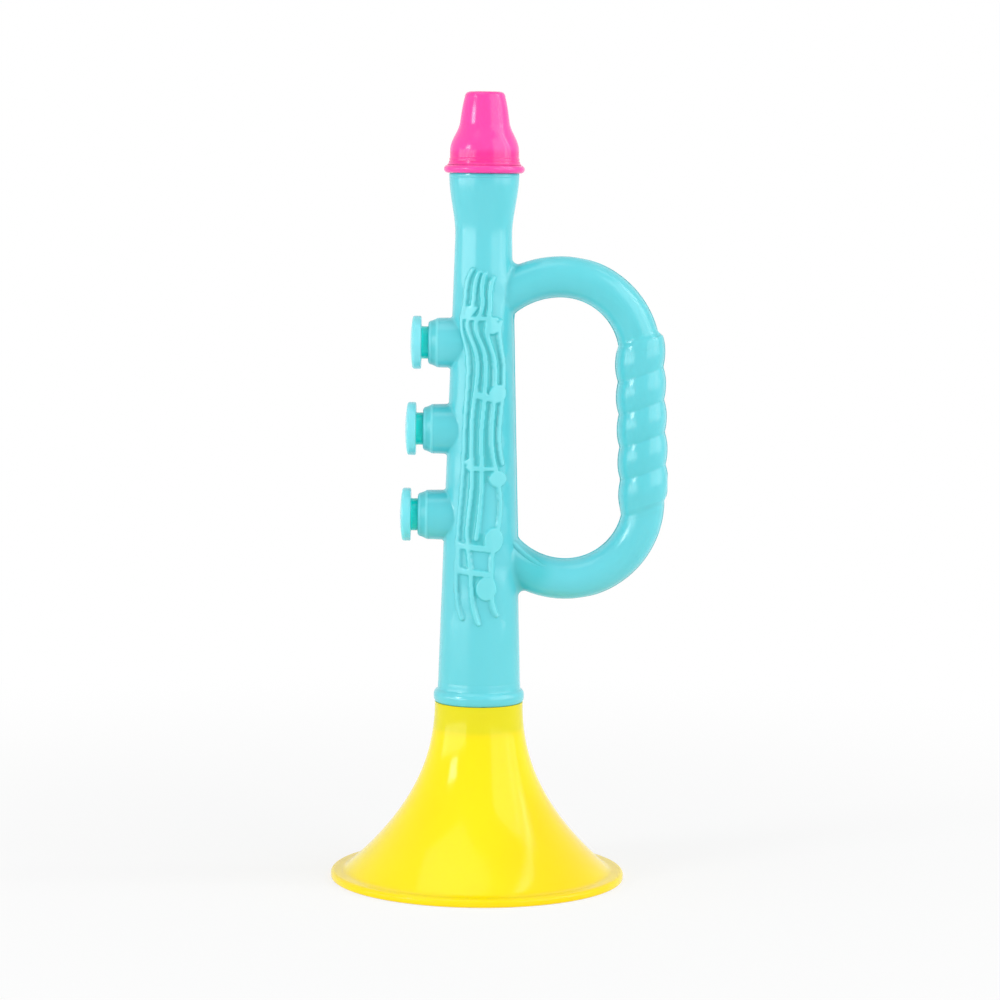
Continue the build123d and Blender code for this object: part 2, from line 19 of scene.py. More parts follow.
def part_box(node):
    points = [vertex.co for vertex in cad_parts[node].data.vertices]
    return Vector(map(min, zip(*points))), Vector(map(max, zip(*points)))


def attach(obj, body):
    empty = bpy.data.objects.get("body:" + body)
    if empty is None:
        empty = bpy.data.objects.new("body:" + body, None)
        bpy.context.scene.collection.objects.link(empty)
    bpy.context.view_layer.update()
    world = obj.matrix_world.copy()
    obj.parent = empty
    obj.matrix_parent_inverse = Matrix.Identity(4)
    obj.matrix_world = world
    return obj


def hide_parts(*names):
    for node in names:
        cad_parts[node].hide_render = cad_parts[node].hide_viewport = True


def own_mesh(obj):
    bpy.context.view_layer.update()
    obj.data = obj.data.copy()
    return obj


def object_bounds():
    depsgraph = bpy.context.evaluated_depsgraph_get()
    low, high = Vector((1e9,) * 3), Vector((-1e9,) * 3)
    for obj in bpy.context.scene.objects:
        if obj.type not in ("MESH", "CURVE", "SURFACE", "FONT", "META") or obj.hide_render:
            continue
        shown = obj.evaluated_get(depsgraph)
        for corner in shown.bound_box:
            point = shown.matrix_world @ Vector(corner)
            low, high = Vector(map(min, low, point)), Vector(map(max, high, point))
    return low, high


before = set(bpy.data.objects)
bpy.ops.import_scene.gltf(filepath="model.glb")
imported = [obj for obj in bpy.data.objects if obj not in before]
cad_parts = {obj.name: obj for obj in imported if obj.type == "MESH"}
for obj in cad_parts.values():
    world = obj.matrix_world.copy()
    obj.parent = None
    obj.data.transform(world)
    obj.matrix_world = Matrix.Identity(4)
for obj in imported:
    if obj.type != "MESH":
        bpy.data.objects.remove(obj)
cad_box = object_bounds()

LOG = logging.getLogger("trumpet")
MM = 0.001
TRUMPET = "trumpet"
SHELLS = ("front_shell", "back_shell")
BUTTONS = ("upper_button", "middle_button", "lower_button")
SPRINGS = ("upper_spring", "middle_spring", "lower_spring")

# Points round a turned piece, how near two points count as one, and the wall of a thin sheet
TURN_STEPS = 128
MERGE_REACH = 0.002 * MM
SHEET_WALL = 0.35 * MM
# Edges that turn by fewer degrees are shaded smooth, on turned pieces, soft skins and wire
TURNED_EDGE, SOFT_EDGE, WIRE_EDGE = 35, 60, 50

Point = tuple[float, float]
Colour = tuple[int, int, int]


class Slot(Enum):
    """Material slots of the record."""

    YELLOW = "yellow_plastic"
    BLUE = "blue_plastic"
    PINK = "pink_plastic"
    REED = "reed_plastic"
    FILM = "reed_film"
    STEEL = "spring_steel"


# Shapes shared by the pieces


def arc(centre: Point, radius: float, start: float, end: float, steps: int = 8) -> list[Point]:
    """Points of a round stretch of an outline, between two angles in degrees from outwards."""
    angles = np.radians(np.linspace(start, end, steps + 1))
    return [(centre[0] + radius * math.cos(a), centre[1] + radius * math.sin(a)) for a in angles]


def bell_curve(width: float, reach: int) -> np.ndarray:
    """Weights of a soft blur, one in all, with its width and its reach to each side in cells."""
    weights = np.exp(-0.5 * (np.arange(-reach, reach + 1) / width) ** 2)
    return weights / weights.sum()


def pick(piece: bpy.types.Object) -> None:
    """Selects a piece alone and makes it the active one.

    Args:
        piece: The piece that the next operators act on.
    """
    bpy.ops.object.select_all(action="DESELECT")
    piece.select_set(True)
    bpy.context.view_layer.objects.active = piece


def settle(piece: bpy.types.Object) -> None:
    """Puts a piece's place, turn and size into its mesh and names the mesh after it.

    Args:
        piece: The piece.
    """
    pick(piece)
    bpy.ops.object.transform_apply(location=True, rotation=True, scale=True)
    piece.data.name = piece.name


def smooth(degrees: float) -> None:
    """Shades the selected piece smooth across edges that turn by less than this."""
    bpy.ops.object.shade_smooth_by_angle(angle=math.radians(degrees))


def dress(piece: bpy.types.Object, material: bpy.types.Material) -> None:
    """Gives a piece one finish.

    Args:
        piece: The piece.
        material: Its finish.
    """
    piece.data.materials.clear()
    piece.data.materials.append(material)


def dress_node(name: str, material: bpy.types.Material) -> bpy.types.Object:
    """Gives a carried CAD node a finish in every one of its material slots.

    Args:
        name: Name of the node.
        material: Its finish.

    Returns:
        The node's object.
    """
    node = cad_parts[name]
    for slot in node.material_slots:
        slot.material = material
    return node


def paint(piece: bpy.types.Object, name: str, shares: np.ndarray) -> None:
    """Stores a share for each point of a piece, which its finish reads by name."""
    layer = piece.data.attributes.new(name, "FLOAT", "POINT")
    layer.data.foreach_set("value", np.ascontiguousarray(shares, dtype=np.float32).ravel())


def added(name: str, data: bpy.types.ID) -> bpy.types.Object:
    """Adds a piece made from a mesh or a curve and selects it alone.

    Args:
        name: Name of the new piece.
        data: Its mesh or curve.

    Returns:
        The piece.
    """
    piece = bpy.data.objects.new(name, data)
    bpy.context.scene.collection.objects.link(piece)
    pick(piece)
    return piece


def copied(model: bpy.types.Object, name: str, place: Vector) -> bpy.types.Object:
    """Copies a model that lies at the origin, with a mesh of its own.

    Args:
        model: The model.
        name: Name of the copy.
        place: Where the copy goes, in metres.

    Returns:
        The copy, with its place in its mesh.
    """
    piece = added(name, model.data.copy())
    piece.location = place
    settle(piece)
    return piece


def turned(name: str, outline: list[Point], closed: bool = True) -> bpy.types.Object:
    """Turns an outline about the vertical axis, one extruded ring after another.

    Args:
        name: Name of the new piece.
        outline: Pairs of radius and height in millimetres, one for each ring.
        closed: Whether the last ring joins the first one. Both ends are closed in a point if not.

    Returns:
        The piece, with its place in its mesh.
    """
    radius, height = outline[0]
    bpy.ops.mesh.primitive_circle_add(
        vertices=TURN_STEPS,
        radius=radius * MM,
        fill_type="NOTHING" if closed else "TRIFAN",
        location=(0, 0, height * MM),
    )
    piece = bpy.context.object
    piece.name = name
    bpy.ops.object.mode_set(mode="EDIT")
    bpy.ops.mesh.select_mode(type="VERT")
    bpy.ops.mesh.select_all(action="SELECT")
    following = outline[1:] + outline[:1] if closed else outline[1:]
    for (radius, height), (next_radius, next_height) in zip(outline, following):
        rise = (0, 0, (next_height - height) * MM)
        growth = (next_radius / radius, next_radius / radius, 1)
        bpy.ops.mesh.extrude_region_move(TRANSFORM_OT_translate={"value": rise})
        bpy.ops.transform.resize(value=growth, center_override=(0, 0, next_height * MM))
    bpy.ops.mesh.select_all(action="SELECT")
    bpy.ops.mesh.remove_doubles(threshold=MERGE_REACH)
    bpy.ops.mesh.normals_make_consistent(inside=False)
    bpy.ops.object.mode_set(mode="OBJECT")
    smooth(TURNED_EDGE)
    settle(piece)
    return piece


def laid_over(model: bpy.types.Object) -> None:
    """Turns a model from +Z to -X, the way that the buttons point."""
    model.rotation_euler = (0, math.radians(-90), 0)
    settle(model)


def sheet(
    name: str,
    points: np.ndarray,
    kept: np.ndarray,
    shares: dict[str, np.ndarray],
    material: bpy.types.Material,
) -> bpy.types.Object:
    """Makes a thin closed piece of the blue body over a grid of points.

    Args:
        name: Name of the piece.
        points: Places of the grid's points, row by row, in metres.
        kept: Which of the points carry the piece.
        shares: Painted shares of its points, by name.
        material: Its finish.

    Returns:
        The piece, with a wall under its surface.
    """
    rows, columns = kept.shape
    bpy.ops.mesh.primitive_grid_add(x_subdivisions=columns - 1, y_subdivisions=rows - 1, size=1)
    piece = bpy.context.object
    piece.name = name
    mesh = piece.data
    mesh.vertices.foreach_set("co", points.reshape(-1, 3).ravel())
    for key, share in shares.items():
        paint(piece, key, share)
    cell = kept[:-1, :-1] | kept[1:, :-1] | kept[:-1, 1:] | kept[1:, 1:]
    bpy.ops.object.mode_set(mode="EDIT")
    bpy.ops.mesh.select_all(action="DESELECT")
    bpy.ops.object.mode_set(mode="OBJECT")
    mesh.polygons.foreach_set("select", ~cell.ravel())
    bpy.ops.object.mode_set(mode="EDIT")
    bpy.ops.mesh.select_mode(type="FACE")
    bpy.ops.mesh.delete(type="FACE")
    bpy.ops.mesh.select_all(action="SELECT")
    bpy.ops.mesh.remove_doubles(threshold=MERGE_REACH)
    bpy.ops.object.mode_set(mode="OBJECT")
    wall = piece.modifiers.new("wall", "SOLIDIFY")
    wall.thickness = SHEET_WALL
    wall.offset = -1.0
    bpy.ops.object.modifier_apply(modifier="wall")
    smooth(SOFT_EDGE)
    settle(piece)
    dress(piece, material)
    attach(piece, TRUMPET)
    return piece


def bead(
    name: str,
    line: list[Vector],
    widths: list[float],
    closed: bool,
    material: bpy.types.Material,
) -> bpy.types.Object:
    """Makes a round bead of the blue body along a line, cut off at the part's box.

    Args:
        name: Name of the piece.
        line: Points that its middle follows, in metres.
        widths: Its radius at each point, in millimetres.
        closed: Whether the bead comes back to its start.
        material: Its finish.

    Returns:
        The bead as a mesh.
    """
    curve = bpy.data.curves.new(name, "CURVE")
    curve.dimensions = "3D"
    curve.bevel_depth = MM
    curve.bevel_resolution = 3
    curve.use_fill_caps = True
    spline = curve.splines.new("POLY")
    spline.points.add(len(line) - 1)
    for point, place, width in zip(spline.points, line, widths):
        point.co = (*place, 1)
        point.radius = width
    spline.use_cyclic_u = closed
    piece = added(name, curve)
    bpy.ops.object.convert(target="MESH")
    for vertex in piece.data.vertices:
        vertex.co.x = min(vertex.co.x, cad_box[1][0])
    smooth(SOFT_EDGE)
    settle(piece)
    dress(piece, material)
    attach(piece, TRUMPET)
    return piece


class Probe:
    """Feels the surface of CAD nodes with rays."""

    # Where a ray at the trumpet's axis starts, clear of the whole object
    FAR = 200 * MM

    def __init__(self, *nodes: str) -> None:
        """Gathers the nodes' faces.

        Args:
            nodes: Names of the CAD nodes.
        """
        points, faces = [], []
        for name in nodes:
            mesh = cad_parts[name].data
            start = len(points)
            points.extend(v.co.copy() for v in mesh.vertices)
            faces.extend([start + i for i in p.vertices] for p in mesh.polygons)
        self.tree = BVHTree.FromPolygons(points, faces)

    def hit(self, origin: Vector, direction: Vector) -> Vector | None:
        """First point that a ray meets, or None."""
        return self.tree.ray_cast(origin, direction)[0]

    def radius(self, height: float, angle: float = 90.0) -> float:
        """Distance of the outer surface from the trumpet's axis.

        Args:
            height: Height in millimetres.
            angle: Direction round the axis in degrees, 90 for the plain back.

        Returns:
            The radius in millimetres.
        """
        out = Vector((math.cos(math.radians(angle)), math.sin(math.radians(angle)), 0))
        point = self.hit(out * self.FAR + Vector((0, 0, height * MM)), -out)
        return math.hypot(point.x, point.y) / MM


# Finishes


def linear(colour: Colour) -> tuple[float, float, float, float]:
    """Turns a colour as it is seen, 0 to 255, into the shader's own scale."""
    shares = [c / 255 for c in colour]
    return (*[s / 12.92 if s <= 0.04045 else ((s + 0.055) / 1.055) ** 2.4 for s in shares], 1.0)


@dataclass(frozen=True)
class Grain:
    """Soft random pattern in a material.

    Attributes:
        size: Size of its patches in millimetres.
        detail: How many finer layers it has.
        stretch: How much longer its patches are round and up the piece.
    """

    size: float
    detail: float = 2.0
    stretch: Point = (1.0, 1.0)


WHITE = (1.0, 1.0, 1.0, 1.0)
# Values between which nearly all of a random pattern lies
GRAIN_RANGE = (0.3, 0.7)

PIGMENT_DRIFT = Grain(16.0, 3.0, (1, 3))
GLOSS_PATCHES = Grain(7.0, 4.0, (1, 2))
MOULD_GRAIN = Grain(0.45, 3.0)
FLOW_LINES = Grain(5.0, 1.0, (1, 4))
WIRE_TINT = Grain(1.5)
WIRE_GLOSS = Grain(0.3, 4.0)
DRAWING_LINES = Grain(0.12, 2.0, (4, 1))
SATIN_FLECKS = Grain(2.5, 3.0)
SATIN_GLOSS = Grain(0.8, 4.0)
SATIN_SKIN = Grain(0.25, 2.0)


class Graph:
    """A node tree, with short calls that add and join nodes."""

    def __init__(self, tree: bpy.types.NodeTree) -> None:
        """Empties the tree of a material or of the world."""
        self.tree = tree
        self.tree.nodes.clear()

    def add(
        self, kind: str, inputs: dict[str | int, object] | None = None, **settings: object
    ) -> bpy.types.Node:
        """Adds a node.

        Args:
            kind: Blender's name for its kind.
            inputs: By name or number, what goes into its inputs: another node's output or a value.
            settings: Its own settings.

        Returns:
            The node.
        """
        node = self.tree.nodes.new(kind)
        for key, value in settings.items():
            setattr(node, key, value)
        for key, value in (inputs or {}).items():
            if isinstance(value, bpy.types.NodeSocket):
                self.tree.links.new(value, node.inputs[key])
            else:
                node.inputs[key].default_value = value
        return node

    def place(self) -> bpy.types.NodeSocket:
        """Place of a point in metres."""
        return self.add("ShaderNodeTexCoord").outputs["Object"]

    def along(self, axis: str) -> bpy.types.NodeSocket:
        """Place of a point along the axis X, Y or Z."""
        return self.add("ShaderNodeSeparateXYZ", {"Vector": self.place()}).outputs[axis]

    def noise(self, grain: Grain) -> bpy.types.NodeSocket:
        """Random pattern.

        Args:
            grain: Its size and form.

        Returns:
            The pattern's value, 0 to 1.
        """
        turn, up = (1 / times for times in grain.stretch)
        mapping = self.add("ShaderNodeMapping", {"Vector": self.place(), "Scale": (turn, turn, up)})
        inputs = {"Scale": 1 / (grain.size * MM), "Detail": grain.detail}
        inputs["Vector"] = mapping.outputs["Vector"]
        return self.add("ShaderNodeTexNoise", inputs).outputs["Fac"]

    def ramp(
        self, value: bpy.types.NodeSocket, source: Point, target: Point, soft: bool = True
    ) -> bpy.types.NodeSocket:
        """Maps a value from one range to another, held at both ends.

        Args:
            value: The value.
            source: Range that it comes from.
            target: Range that it goes to.
            soft: Whether it starts and ends softly.

        Returns:
            The mapped value.
        """
        inputs = dict(zip(("From Min", "From Max", "To Min", "To Max"), (*source, *target)))
        kind = "SMOOTHSTEP" if soft else "LINEAR"
        node = self.add("ShaderNodeMapRange", {"Value": value, **inputs}, interpolation_type=kind)
        return node.outputs["Result"]

    def combine(
        self, operation: str, first: bpy.types.NodeSocket, second: bpy.types.NodeSocket
    ) -> bpy.types.NodeSocket:
        """Works out one value of two, by Blender's name of the operation."""
        return self.add("ShaderNodeMath", {0: first, 1: second}, operation=operation).outputs[0]

    def blend(
        self, share: bpy.types.NodeSocket, first: object, second: object
    ) -> bpy.types.NodeSocket:
        """Mixes two colours, each an output or a fixed colour, by a share."""
        inputs = {0: share, 6: first, 7: second}
        return self.add("ShaderNodeMix", inputs, data_type="RGBA").outputs[2]

    def bump(
        self,
        grain: Grain,
        strength: float,
        depth: float,
        under: bpy.types.NodeSocket | None = None,
    ) -> bpy.types.NodeSocket:
        """Fine relief of a skin.

        Args:
            grain: Its pattern.
            strength: How strongly it shows.
            depth: Its depth in millimetres.
            under: Normal of the skin that it lies on, if that isn't the piece's own.

        Returns:
            The normal with it.
        """
        inputs = {"Strength": strength, "Distance": depth * MM, "Height": self.noise(grain)}
        if under is not None:
            inputs["Normal"] = under
        return self.add("ShaderNodeBump", inputs).outputs["Normal"]

    def show(
        self,
        output: str,
        share: bpy.types.NodeSocket,
        first: bpy.types.NodeSocket,
        second: bpy.types.NodeSocket,
    ) -> None:
        """Mixes two shaders by the second one's share into an output of Blender's given kind."""
        mix = self.add("ShaderNodeMixShader", {0: share, 1: first, 2: second})
        self.add(output, {"Surface": mix.outputs["Shader"]})

    def seen_share(self) -> bpy.types.NodeSocket:
        """One for rays that see the surface straight, in a gloss or through glass, none for light.

        Returns:
            The share.
        """
        path = self.add("ShaderNodeLightPath").outputs
        gloss = self.combine("MAXIMUM", path["Is Camera Ray"], path["Is Glossy Ray"])
        return self.combine("MAXIMUM", gloss, path["Is Transmission Ray"])


class Skin(Graph):
    """Nodes of a new material."""

    def __init__(self, name: str) -> None:
        """Makes the material.

        Args:
            name: Its name.
        """
        self.material = bpy.data.materials.new(name)
        self.material.use_nodes = True
        super().__init__(self.material.node_tree)

    def finished(self, inputs: dict[str, object]) -> bpy.types.Material:
        """Adds the surface's shader.

        Args:
            inputs: By name, what goes into the shader's inputs.

        Returns:
            The finished material.
        """
        shader = self.add("ShaderNodeBsdfPrincipled", inputs)
        self.add("ShaderNodeOutputMaterial", {"Surface": shader.outputs["BSDF"]})
        return self.material


@dataclass(frozen=True)
class ColourBand:
    """Band of a deeper colour round a piece, such as where a darker piece behind a thin wall shows
    through it.

    Attributes:
        low: Height of its lower edge in millimetres.
        high: Height of its upper edge.
        colour: Colour of the wall there.
        share: How much of that colour shows.
        softness: Width of its blurred edges.
    """

    low: float
    high: float
    colour: Colour
    share: float
    softness: float

    def over(self, g: Graph, colour: bpy.types.NodeSocket) -> bpy.types.NodeSocket:
        """Blends the band over the wall's colour.

        Args:
            g: Nodes of the material.
            colour: Colour of the wall.

        Returns:
            The colour with the band.
        """
        height, half = g.along("Z"), self.softness / 2
        low, high = (((edge - half) * MM, (edge + half) * MM) for edge in (self.low, self.high))
        rise, fall = g.ramp(height, low, (0, self.share)), g.ramp(height, high, (1, 0))
        return g.blend(g.combine("MULTIPLY", rise, fall), colour, linear(self.colour))


@dataclass(frozen=True)
class DeepPatch:
    """Round patch in which the deep colour is blended in.

    Attributes:
        across: Its middle across the trumpet in millimetres.
        up: Its middle's height.
        reach: How far it fades out.
        share: How much of the deeper colour shows in its middle.
    """

    across: float
    up: float
    reach: float
    share: float

    # Shares of the reach between which it fades
    FADE = (0.3, 1)

    def over(
        self, g: Graph, colour: bpy.types.NodeSocket, deep: Colour
    ) -> bpy.types.NodeSocket:
        """Blends the deeper colour over the wall's colour.

        Args:
            g: Nodes of the material.
            colour: Colour of the wall.
            deep: The deeper colour.

        Returns:
            The colour with the patch.
        """
        inputs = {
            "Vector": g.place(),
            "Location": (-self.across / self.reach, 0, -self.up / self.reach),
            "Scale": (1 / (self.reach * MM), 0, 1 / (self.reach * MM)),
        }
        from_middle = g.add("ShaderNodeMapping", inputs).outputs["Vector"]
        away = g.add("ShaderNodeVectorMath", {0: from_middle}, operation="LENGTH")
        share = g.ramp(away.outputs["Value"], self.FADE, (self.share, 0))
        return g.blend(share, colour, linear(deep))


@dataclass(frozen=True)
class MouldedPlastic:
    """Glossy, slightly translucent moulded plastic.

    Attributes:
        name: Name of the material.
        colour: Colour of the wall.
        deep: Deeper colour of the pigment's drift and of the deep patches, and the painted shade in
            crevices.
        roughness: Least and most roughness of the skin.
        specular: How strongly the skin mirrors, 0.5 for a plain one.
        translucency: Share of the light that goes through the skin and comes out beside.
        reach: How far that light travels, in millimetres.
        crevice: How much of the deep colour is painted into crevices as shade.
        crevice_reach: How far the painted crevice shade reaches, in millimetres.
        edge: Radius to which the light rounds sharp edges, in millimetres.
        grip_edge: The same out on the handle's grip, whose ridges run softly into each other.
        bands: Bands of deeper colour round the piece, such as where something behind shows through
            the wall.
        deep_patches: Round patches of the deep colour, painted shade where they sit in the handle's
            corners.
        painted: Names of the mesh's painted shares and the colours that they blend to, painted
            highlight and painted shade.
    """

    name: str
    colour: Colour
    deep: Colour
    roughness: Point
    specular: float = 0.5
    translucency: float = 0.15
    reach: float = 1.2
    crevice: float = 0.5
    crevice_reach: float = 1.6
    edge: float = 0.25
    grip_edge: float = 0.25
    bands: tuple[ColourBand, ...] = ()
    deep_patches: tuple[DeepPatch, ...] = ()
    painted: tuple[tuple[str, Colour], ...] = ()

    IOR = 1.49
    # Least distance that light of any colour travels in the skin, as a share of the furthest
    LEAST_TRAVEL = 0.3
    # The pigment's drift: range of the pattern that shows, and most of the deep colour in it
    DRIFT_RANGE, DRIFT_SHARE = (0.35, 0.7), 0.22
    # How open a place is where the painted crevice shade is full, and where it ends
    OPEN_RANGE = (0.5, 0.98)
    # Places across the trumpet between which the bar's edges give way to the grip's
    GRIP_START = (24 * MM, 27 * MM)
    # Strength and depth of the moulding grain and of the flow lines
    GRAIN_BUMP, FLOW_BUMP = (0.05, 0.05), (0.25, 0.12)

    def material(self) -> bpy.types.Material:
        """Builds the finish: pigment drift, painted shade in crevices, moulding grain and a worn
        sheen.

        Returns:
            The material.
        """
        g = Skin(self.name)
        travel = (self.LEAST_TRAVEL + (1 - self.LEAST_TRAVEL) * c for c in linear(self.colour)[:3])
        return g.finished({
            "Base Color": self._colour(g),
            "Roughness": g.ramp(g.noise(GLOSS_PATCHES), GRAIN_RANGE, self.roughness),
            "Normal": self._relief(g),
            "IOR": self.IOR,
            "Specular IOR Level": self.specular,
            "Subsurface Weight": self.translucency,
            "Subsurface Radius": tuple(travel),
            "Subsurface Scale": self.reach * MM,
        })

    def _colour(self, g: Graph) -> bpy.types.NodeSocket:
        """Colour with pigment drift, painted shade in crevices, the deeper bands and patches, and
        the painted shares.

        Args:
            g: Nodes of the material.

        Returns:
            The colour.
        """
        drift = g.ramp(g.noise(PIGMENT_DRIFT), self.DRIFT_RANGE, (0.0, self.DRIFT_SHARE))
        colour = g.blend(drift, linear(self.colour), linear(self.deep))
        # Painted shade: the deep colour is blended into the crevices that the occlusion node finds
        inputs = {"Distance": self.crevice_reach * MM}
        crevice = g.add("ShaderNodeAmbientOcclusion", inputs, samples=8, only_local=False)
        depth = g.ramp(crevice.outputs["AO"], self.OPEN_RANGE, (self.crevice, 0.0), soft=False)
        colour = g.blend(depth, colour, linear(self.deep))
        for band in self.bands:
            colour = band.over(g, colour)
        # Round patches of the deep colour: on the blue body, painted shade in the handle's corners
        for place in self.deep_patches:
            colour = place.over(g, colour, self.deep)
        # Painted shares of the mesh: painted highlight on crests, painted shade on grounds and on
        # the button stems
        for name, tint in self.painted:
            share = g.add("ShaderNodeAttribute", attribute_name=name)
            colour = g.blend(share.outputs["Fac"], colour, linear(tint))
        return colour

    def _relief(self, g: Graph) -> bpy.types.NodeSocket:
        """Normal with softened edges, fine moulding grain and faint flow lines.

        Args:
            g: Nodes of the material.

        Returns:
            The normal.
        """
        reach = g.ramp(g.along("X"), self.GRIP_START, (self.edge * MM, self.grip_edge * MM))
        edge = g.add("ShaderNodeBevel", {"Radius": reach}, samples=6)
        grain = g.bump(MOULD_GRAIN, *self.GRAIN_BUMP, edge.outputs["Normal"])
        return g.bump(FLOW_LINES, *self.FLOW_BUMP, grain)


@dataclass(frozen=True)
class DrawnSteel:
    """Bright spring wire with fine drawing lines.

    Attributes:
        name: Name of the material.
        colour: Its colour.
        shade: Colour of its duller stretches.
        roughness: Least and most roughness.
        lines: Strength and depth of the drawing lines.
    """

    name: str = "drawn_spring_wire"
    colour: Colour = (196, 198, 202)
    shade: Colour = (150, 152, 158)
    roughness: Point = (0.18, 0.36)
    lines: Point = (1.0, 0.01)

    def material(self) -> bpy.types.Material:
        """Builds the finish.

        Returns:
            The material.
        """
        g = Skin(self.name)
        return g.finished({
            "Base Color": g.blend(g.noise(WIRE_TINT), linear(self.colour), linear(self.shade)),
            "Roughness": g.ramp(g.noise(WIRE_GLOSS), GRAIN_RANGE, self.roughness),
            "Normal": g.bump(DRAWING_LINES, *self.lines),
            "Metallic": 1.0,
        })


@dataclass(frozen=True)
class SatinPlastic:
    """Plain satin plastic of the reed's pieces.

    Attributes:
        name: Name of the material.
        colour: Its colour.
        shade: Colour of its darker flecks.
        roughness: Least and most roughness.
        flecks: Range of the pattern that shows as flecks, and their least and most share.
        skin: Strength and depth of the skin's relief.
    """

    name: str
    colour: Colour
    shade: Colour
    roughness: Point = (0.38, 0.55)
    flecks: tuple[Point, Point] = ((0.4, 0.8), (0.0, 0.5))
    skin: Point = (0.2, 0.03)

    def material(self) -> bpy.types.Material:
        """Builds the finish.

        Returns:
            The material.
        """
        g = Skin(self.name)
        share = g.ramp(g.noise(SATIN_FLECKS), *self.flecks)
        return g.finished({
            "Base Color": g.blend(share, linear(self.colour), linear(self.shade)),
            "Roughness": g.ramp(g.noise(SATIN_GLOSS), GRAIN_RANGE, self.roughness),
            "Normal": g.bump(SATIN_SKIN, *self.skin),
        })


YELLOW = MouldedPlastic(
    name="yellow_moulded_plastic",
    colour=(255, 230, 10),
    deep=(250, 212, 0),
    roughness=(0.1, 0.16),
    specular=0.22,
    # Faint painted shade in crevices
    crevice=0.1,
    bands=(
        ColourBand(32.2, 39.0, (222, 218, 30), 0.75, 2.2),
        # Deeper golden band along the bell's rim
        ColourBand(-1.0, 2.0, (250, 208, 0), 0.25, 1.0),
    ),
    # Deeper, more orange patch on the lower right of the flare
    deep_patches=(DeepPatch(17.0, 9.0, 17.0, 0.5),),
)
PINK = MouldedPlastic(
    name="pink_moulded_plastic",
    colour=(255, 72, 172),
    deep=(250, 40, 148),
    roughness=(0.16, 0.22),
    specular=0.42,
    # Painted shade: about a third of the deep colour in crevices
    crevice=0.35,
    bands=(ColourBand(152.6, 155.6, (255, 40, 148), 0.8, 1.6),),
)
BLUE = MouldedPlastic(
    name="blue_moulded_plastic",
    colour=(102, 210, 221),
    deep=(40, 190, 196),
    roughness=(0.15, 0.22),
    # Painted shade in crevices, reaching far into the handle's corners
    crevice_reach=3.6,
    grip_edge=0.9,
    # Painted shade where the handle's lower and upper roots meet the tube
    deep_patches=(DeepPatch(10.5, 67.0, 6.0, 0.5), DeepPatch(8.5, 121.0, 4.0, 0.35)),
)
RELIEF_BLUE = replace(
    BLUE,
    name="blue_relief_plastic",
    edge=0.12,
    grip_edge=0.12,
    # Painted shade nearly fills the relief's narrow crevices
    crevice=0.9,
    crevice_reach=1.0,
    deep_patches=(),
    # Painted shade on the ground between raised lines, painted highlight on their crests
    painted=(("ground", (74, 198, 205)), ("crest", (114, 218, 227))),
)
# The casing ends carry painted highlight on their rims and bead and painted shade on their cones
CASING_BLUE = replace(RELIEF_BLUE, name="blue_casing_plastic", roughness=(0.32, 0.38))
BUTTON_BLUE = MouldedPlastic(
    name="blue_button_plastic",
    # Paler than the body's blue: painted light of the thin heads lit through
    colour=(134, 218, 230),
    deep=(0, 226, 218),
    roughness=(0.15, 0.22),
    specular=0.3,
    # Painted shade nearly fills the crevices
    crevice=0.95,
    translucency=0.5,
    reach=4.0,
    # Stem painted in a saturated colour that stands for the shaded gap under the head: painted
    # shade
    painted=(("stem", (14, 240, 232)),),
)
HOLDER_PLASTIC = SatinPlastic("reed_holder_plastic", (238, 238, 232), (214, 213, 204))
REED_FILM = SatinPlastic("reed_film", (240, 240, 236), (222, 220, 210), (0.25, 0.4))
SPRING_STEEL = DrawnSteel()


# Pieces of the trumpet


